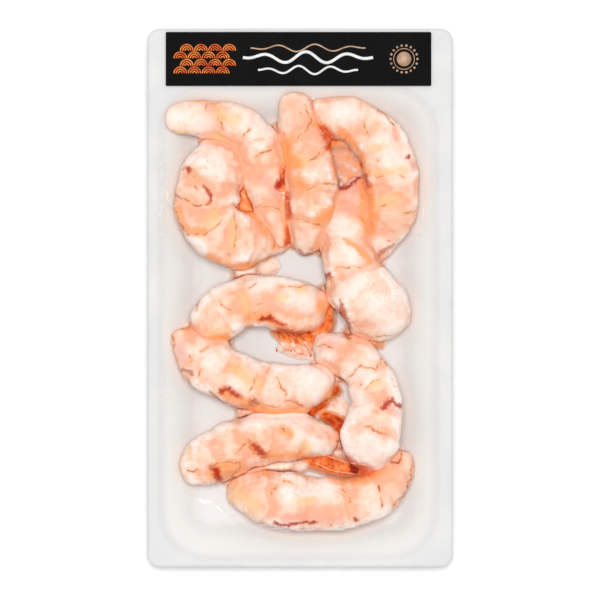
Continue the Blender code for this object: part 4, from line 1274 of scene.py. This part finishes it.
def strand_tree():
    """Shreds that follow the edges of the base: their thickness is kept on its points and wavers."""
    tree, given, result = growing_tree(
        "tissue_shreds", Float="Step, Ripple, Ripple Size, Seed", Material="Material"
    )
    path = add(tree, "GeometryNodeMeshToCurve", {"Mesh": given["Base"]}).outputs["Curve"]
    sockets = {"Curve": path, "Length": given["Step"]}
    path = add(tree, "GeometryNodeResampleCurve", sockets, mode="LENGTH").outputs["Curve"]
    scale = calculated(tree, "DIVIDE", 1.0, given["Ripple Size"])
    sockets = {"Scale": scale, "W": given["Seed"], "Detail": 2.0}
    waver = add(tree, "ShaderNodeTexNoise", sockets, noise_dimensions="4D").outputs
    sockets = {0: waver["Color"], 1: (2.0, 2.0, 0.6), 2: (-1.0, -1.0, -0.3)}
    centred = add(tree, "ShaderNodeVectorMath", sockets, operation="MULTIPLY_ADD").outputs["Vector"]
    sockets = {0: centred, "Scale": given["Ripple"]}
    moved = add(tree, "ShaderNodeVectorMath", sockets, operation="SCALE").outputs["Vector"]
    path = add(tree, "GeometryNodeSetPosition", {"Geometry": path, "Offset": moved}).outputs["Geometry"]
    thick = add(tree, "GeometryNodeInputNamedAttribute", {"Name": "thickness"}, data_type="FLOAT")
    swing = sum_of(tree, 0.2, waver["Fac"], 1.6)
    section = add(tree, "GeometryNodeCurvePrimitiveCircle", {"Resolution": 8, "Radius": 1.0})
    sockets = {
        "Curve": path, "Profile Curve": section.outputs["Curve"], "Fill Caps": True,
        "Scale": product(tree, thick.outputs["Attribute"], swing),
    }
    shred = add(tree, "GeometryNodeCurveToMesh", sockets)
    return close_tree(tree, given, result, shred.outputs["Mesh"])


def make_strands(heights, material):
    """Loose shreds of tissue, half sunk in the juice and on the tray where none stands."""
    surface = heights.surface()
    points, edges, thickness, blood = [], [], [], []
    for half, bloody, *line in STRANDS:
        places = smooth_path([(x, y, half) for x, y in np.reshape(line, (-1, 2))])
        share = np.linspace(0.0, 1.0, len(places))
        places[:, 2] *= STRAND_TIP + (1.0 - STRAND_TIP) * np.sin(math.pi * share) ** 0.5
        z = heights.at(places[:, 0], places[:, 1], surface) - STRAND_SUNK * places[:, 2]
        blood.extend(bloody * share)
        start = len(points)
        points.extend(zip(places[:, 0], places[:, 1], z))
        edges.extend((start + i, start + i + 1) for i in range(len(places) - 1))
        thickness.extend(places[:, 2])
    base = bpy.data.meshes.new("tissue_shreds")
    base.from_pydata(points, edges, [])
    store(base, "thickness", thickness)
    store(base, "blood", blood)
    values = {"Step": 0.5 * MM, "Ripple": 0.5 * MM, "Ripple Size": 2.4 * MM, "Seed": 3.0}
    return grown("tissue_shreds", strand_tree(), values | {"Material": material}, base)


def flat_strip(tree, given, curve):
    """A thin flat strip of ink along a curve."""
    upright = add(tree, "GeometryNodeSetCurveNormal", {"Curve": curve}, mode="Z_UP").outputs["Curve"]
    sockets = {"Width": given["Line"], "Height": given["Ink"]}
    section = add(tree, "GeometryNodeCurvePrimitiveQuadrilateral", sockets).outputs["Curve"]
    sockets = {"Curve": upright, "Profile Curve": section, "Fill Caps": True}
    return add(tree, "GeometryNodeCurveToMesh", sockets).outputs["Mesh"]


def instanced(tree, points, instance):
    sockets = {"Points": points, "Instance": instance}
    return add(tree, "GeometryNodeInstanceOnPoints", sockets).outputs["Instances"]


def vector_of(tree, **parts):
    return add(tree, "ShaderNodeCombineXYZ", parts).outputs["Vector"]


def scale_tree():
    """A patch of round scales: rows of nested arcs, every other row half a step aside."""
    tree, given, result = growing_tree(
        "scale_print", Float="Width, Height, Radius, Line, Ink", Int="Columns, Rows",
        Vector="Place", Material="Material",
    )
    sockets = {
        "Size X": given["Width"], "Size Y": given["Height"],
        "Vertices X": given["Columns"], "Vertices Y": given["Rows"],
    }
    grid = add(tree, "GeometryNodeMeshGrid", sockets).outputs["Mesh"]
    index = add(tree, "GeometryNodeInputIndex").outputs["Index"]
    odd = calculated(tree, "MODULO", calculated(tree, "MODULO", index, given["Rows"]), 2.0)
    aside = vector_of(tree, X=product(tree, odd, given["Radius"]))
    shifted = add(tree, "GeometryNodeSetPosition", {"Geometry": grid, "Offset": aside})
    arcs = tree.nodes.new("GeometryNodeJoinGeometry")
    for share in (0.96, 0.62, 0.28):
        radius = product(tree, given["Radius"], share)
        sockets = {"Resolution": 14, "Radius": radius, "Start Angle": 0.0, "Sweep Angle": math.pi}
        arc = add(tree, "GeometryNodeCurveArc", sockets).outputs["Curve"]
        tree.links.new(flat_strip(tree, given, arc), arcs.inputs["Geometry"])
    rows = instanced(tree, shifted.outputs["Geometry"], arcs.outputs["Geometry"])
    return close_print(tree, given, result, rows)


def wave_tree():
    """A ribbon that swings from side to side and settles towards its ends."""
    tree, given, result = growing_tree(
        "wave_print", Float="Length, Swing, Wave, Phase, Line, Ink", Vector="Place", Material="Material"
    )
    half = product(tree, given["Length"], 0.5)
    ends = {"Start": vector_of(tree, X=product(tree, half, -1.0)), "End": vector_of(tree, X=half)}
    line = add(tree, "GeometryNodeCurvePrimitiveLine", ends).outputs["Curve"]
    fine = add(tree, "GeometryNodeResampleCurve", {"Curve": line, "Count": 110}).outputs["Curve"]
    place = add(tree, "GeometryNodeInputPosition").outputs["Position"]
    x = add(tree, "ShaderNodeSeparateXYZ", {"Vector": place}).outputs["X"]
    turns = calculated(tree, "DIVIDE", product(tree, x, 2 * math.pi), given["Wave"])
    swung = calculated(tree, "SINE", calculated(tree, "ADD", turns, given["Phase"]))
    share = calculated(tree, "DIVIDE", x, half)
    settled = calculated(tree, "SUBTRACT", 1.0, product(tree, share, share))
    rise = product(tree, product(tree, swung, settled), given["Swing"])
    sockets = {"Geometry": fine, "Offset": vector_of(tree, Y=rise)}
    ribbon = add(tree, "GeometryNodeSetPosition", sockets).outputs["Geometry"]
    return close_print(tree, given, result, flat_strip(tree, given, ribbon))


def ring_tree():
    """A round hub in a fine ring, with dots at even steps round it."""
    tree, given, result = growing_tree(
        "ring_print", Float="Radius, Dot, Hub, Line, Ink", Int="Dots", Vector="Place", Material="Material"
    )
    sockets = {"Vertices": given["Dots"], "Radius": given["Radius"]}
    around = add(tree, "GeometryNodeMeshCircle", sockets).outputs["Mesh"]
    discs = []
    for sides, radius in ((14, "Dot"), (48, "Hub")):
        sockets = {"Vertices": sides, "Radius": given[radius], "Depth": given["Ink"]}
        discs.append(add(tree, "GeometryNodeMeshCylinder", sockets).outputs["Mesh"])
    dot, hub = discs
    middle = product(tree, calculated(tree, "ADD", given["Radius"], given["Hub"]), 0.5)
    ring = add(tree, "GeometryNodeCurvePrimitiveCircle", {"Resolution": 64, "Radius": middle})
    parts = tree.nodes.new("GeometryNodeJoinGeometry")
    for part in (instanced(tree, around, dot), hub, flat_strip(tree, given, ring.outputs["Curve"])):
        tree.links.new(part, parts.inputs["Geometry"])
    return close_print(tree, given, result, parts.outputs["Geometry"])


def make_print():
    """The print on the card: a patch of orange scales, three ribbons like waves and a beige rosette."""
    coral = printing_ink("coral_offset_ink", "#c9471c", "#ee8a3c")
    white = printing_ink("white_offset_ink", "#dcdcda", "#f1f0ee")
    beige = printing_ink("beige_offset_ink", "#a58168", "#c9a88c")
    z = LABEL_TOP + INK
    centre = LABEL_CENTRE[1]
    scales = {
        "Width": 17.0 * MM, "Height": 9.0 * MM, "Columns": 4, "Rows": 4, "Radius": 2.6 * MM,
        "Line": 0.5 * MM, "Ink": INK, "Place": (-39.4 * MM, centre - 1.2 * MM, z), "Material": coral,
    }
    made = [grown("scale_print", scale_tree(), scales)]
    tree = wave_tree()
    for name, length, swing, wave, phase, line, rise, ink in (
        ("wave_print_top", 46.0, 1.5, 15.0, 0.4, 0.55, 4.4, beige),
        ("wave_print_middle", 52.0, 2.3, 17.0, 1.9, 1.15, 0.6, white),
        ("wave_print_low", 40.0, 1.7, 13.0, 3.4, 0.80, -4.4, white),
    ):
        values = {
            "Length": length * MM, "Swing": swing * MM, "Wave": wave * MM, "Phase": phase,
            "Line": line * MM, "Ink": INK, "Place": (3.2 * MM, centre + rise * MM, z), "Material": ink,
        }
        made.append(grown(name, tree, values))
    rosette = {
        "Radius": 5.4 * MM, "Dots": 18, "Dot": 0.48 * MM, "Hub": 2.9 * MM,
        "Line": 0.3 * MM, "Ink": INK, "Place": (41.6 * MM, centre, z), "Material": beige,
    }
    return [*made, grown("rosette_print", ring_tree(), rosette)]


def film_heights(surface):
    """The film over the surface: it falls no steeper than it can and is drawn smooth in hollows."""
    floor = surface + FILM_CLEARANCE
    hung = floor.copy()
    fall = math.tan(FILM_STEEPEST) * MAP_CELL
    for _ in range(FILM_TENT_ROUNDS):
        hung[1:] = np.maximum(hung[1:], hung[:-1] - fall)
        hung[:-1] = np.maximum(hung[:-1], hung[1:] - fall)
        hung[:, 1:] = np.maximum(hung[:, 1:], hung[:, :-1] - fall)
        hung[:, :-1] = np.maximum(hung[:, :-1], hung[:, 1:] - fall)
    for _ in range(FILM_SMOOTH_ROUNDS):
        mean = (hung[2:, 1:-1] + hung[:-2, 1:-1] + hung[1:-1, 2:] + hung[1:-1, :-2]) / 4
        hung[1:-1, 1:-1] = np.maximum(floor[1:-1, 1:-1], mean)
    return hung


def make_film(heights, material):
    """The clear film: a fine grid drawn down over the shrimps and sealed to the rim."""
    hung = film_heights(spread(heights.surface(), 1, np.maximum))
    columns = round((heights.xs[-1] - heights.xs[0]) / FILM_CELL)
    rows = round((heights.ys[-1] - heights.ys[0]) / FILM_CELL)
    work = bmesh.new()
    bmesh.ops.create_grid(work, x_segments=columns, y_segments=rows, size=1.0)
    for vert in work.verts:
        vert.co.x *= PACK_WIDTH / 2 - FILM_MARGIN
        vert.co.y *= PACK_LENGTH / 2 - FILM_MARGIN
    round_corners(work)
    film = new_object("skin_film", mesh_from(work, "skin_film"), material)
    points = points_of(film.data)
    # Glint lines: painted highlights on the film
    glint = np.full(len(points), FAR_OUTSIDE)
    plan = strayed(points[:, :2], GLINT_SEED)
    for half_width, *line in FILM_GLINT_LINES:
        glint = np.maximum(glint, inside_line(plan, line, half_width))
    glint = np.clip(glint, 0.0, 1.0)
    points[:, 2] = heights.at(points[:, 0], points[:, 1], hung)
    points[:, 2] += FILM_CRINKLE * (1.0 + noise_at(points, FILM_CRINKLE_SIZE, CRINKLE_SEED)) / 2
    set_points(film.data, points)
    store(film.data, "glint", glint)
    modified(film, "SOLIDIFY", thickness=FILM_THICKNESS, offset=1.0)
    applied(film)
    film.data.shade_smooth()
    return film


def round_corners(work):
    """Draws the sheet's points beyond the pack's round corners in to them."""
    hub_x = PACK_WIDTH / 2 - PACK_CORNER
    hub_y = PACK_LENGTH / 2 - PACK_CORNER
    radius = PACK_CORNER - FILM_MARGIN
    outside = []
    for vert in work.verts:
        out_x, out_y = abs(vert.co.x) - hub_x, abs(vert.co.y) - hub_y
        if out_x <= 0 or out_y <= 0:
            continue
        beyond = math.hypot(out_x, out_y)
        if beyond > radius + FILM_CORNER_SLACK:
            outside.append(vert)
        elif beyond > radius:
            vert.co.x = math.copysign(hub_x + out_x / beyond * radius, vert.co.x)
            vert.co.y = math.copysign(hub_y + out_y / beyond * radius, vert.co.y)
    bmesh.ops.delete(work, geom=outside, context="VERTS")


def make_stage():
    """A plain pale floor, soft light from all round and above, and a camera that looks straight down."""
    work = bmesh.new()
    bmesh.ops.create_grid(work, x_segments=1, y_segments=1, size=FLOOR_SIZE / 2)
    floor = new_object("studio_floor", mesh_from(work, "studio_floor"), studio_paper())
    scene = bpy.context.scene
    scene.world = bpy.data.worlds.new("soft_room")
    scene.world.use_nodes = True
    room = scene.world.node_tree.nodes["Background"].inputs
    room["Color"].default_value = linear("#ffffff")
    room["Strength"].default_value = ROOM_LIGHT
    lamp = bpy.data.lights.new("softbox", "SUN")
    lamp.angle = SOFTBOX_SPREAD
    lamp.energy = SOFTBOX_LIGHT
    light = new_object("softbox", lamp)
    light.location = SOFTBOX_TILT
    light.rotation_euler = Vector(SOFTBOX_TILT).to_track_quat("Z", "Y").to_euler()
    lens = bpy.data.cameras.new("camera")
    lens.lens = LENS
    lens.sensor_width = SENSOR
    lens.clip_end = CLIP_END
    scene.camera = new_object("camera", lens)
    scene.camera.location = (*FRAME_CENTRE, FRAME_HEIGHT + FRAME_WIDTH * LENS / SENSOR)
    scene.view_settings.view_transform = "Standard"


def main():
    make_stage()
    flesh = raw_flesh()
    shrimps = [make_flesh(name, SHRIMP_SEEDS * i, flesh) for i, name in enumerate(SHRIMPS)]
    heights = fill_with_juice(HeightMap(shrimps))
    for piece in shrimps:
        points = points_of(piece.data)
        # How closed in and how high each point is, for the painted shade and highlight of the flesh
        store(piece.data, "closed", 1.0 - heights.openness(points))
        store(piece.data, "crown", heights.crown(points))
        store(piece.data, "soaked", heights.at(points[:, 0], points[:, 1], heights.soaked))
        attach(piece, BODY)
        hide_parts("shrimp_" + piece.name.removesuffix("_flesh"))
    for wet in (make_juice(heights, cloudy_juice()), make_strands(heights, loose_tissue())):
        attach(wet, BODY)
    film = make_film(heights, barrier_film())
    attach(film, BODY)
    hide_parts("film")
    tray = make_tray(formed_plastic())
    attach(tray, BODY)
    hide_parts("tray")
    dress(frame["nodes"]["label"].data, printed_card())
    for print_piece in make_print():
        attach(print_piece, BODY)


main()
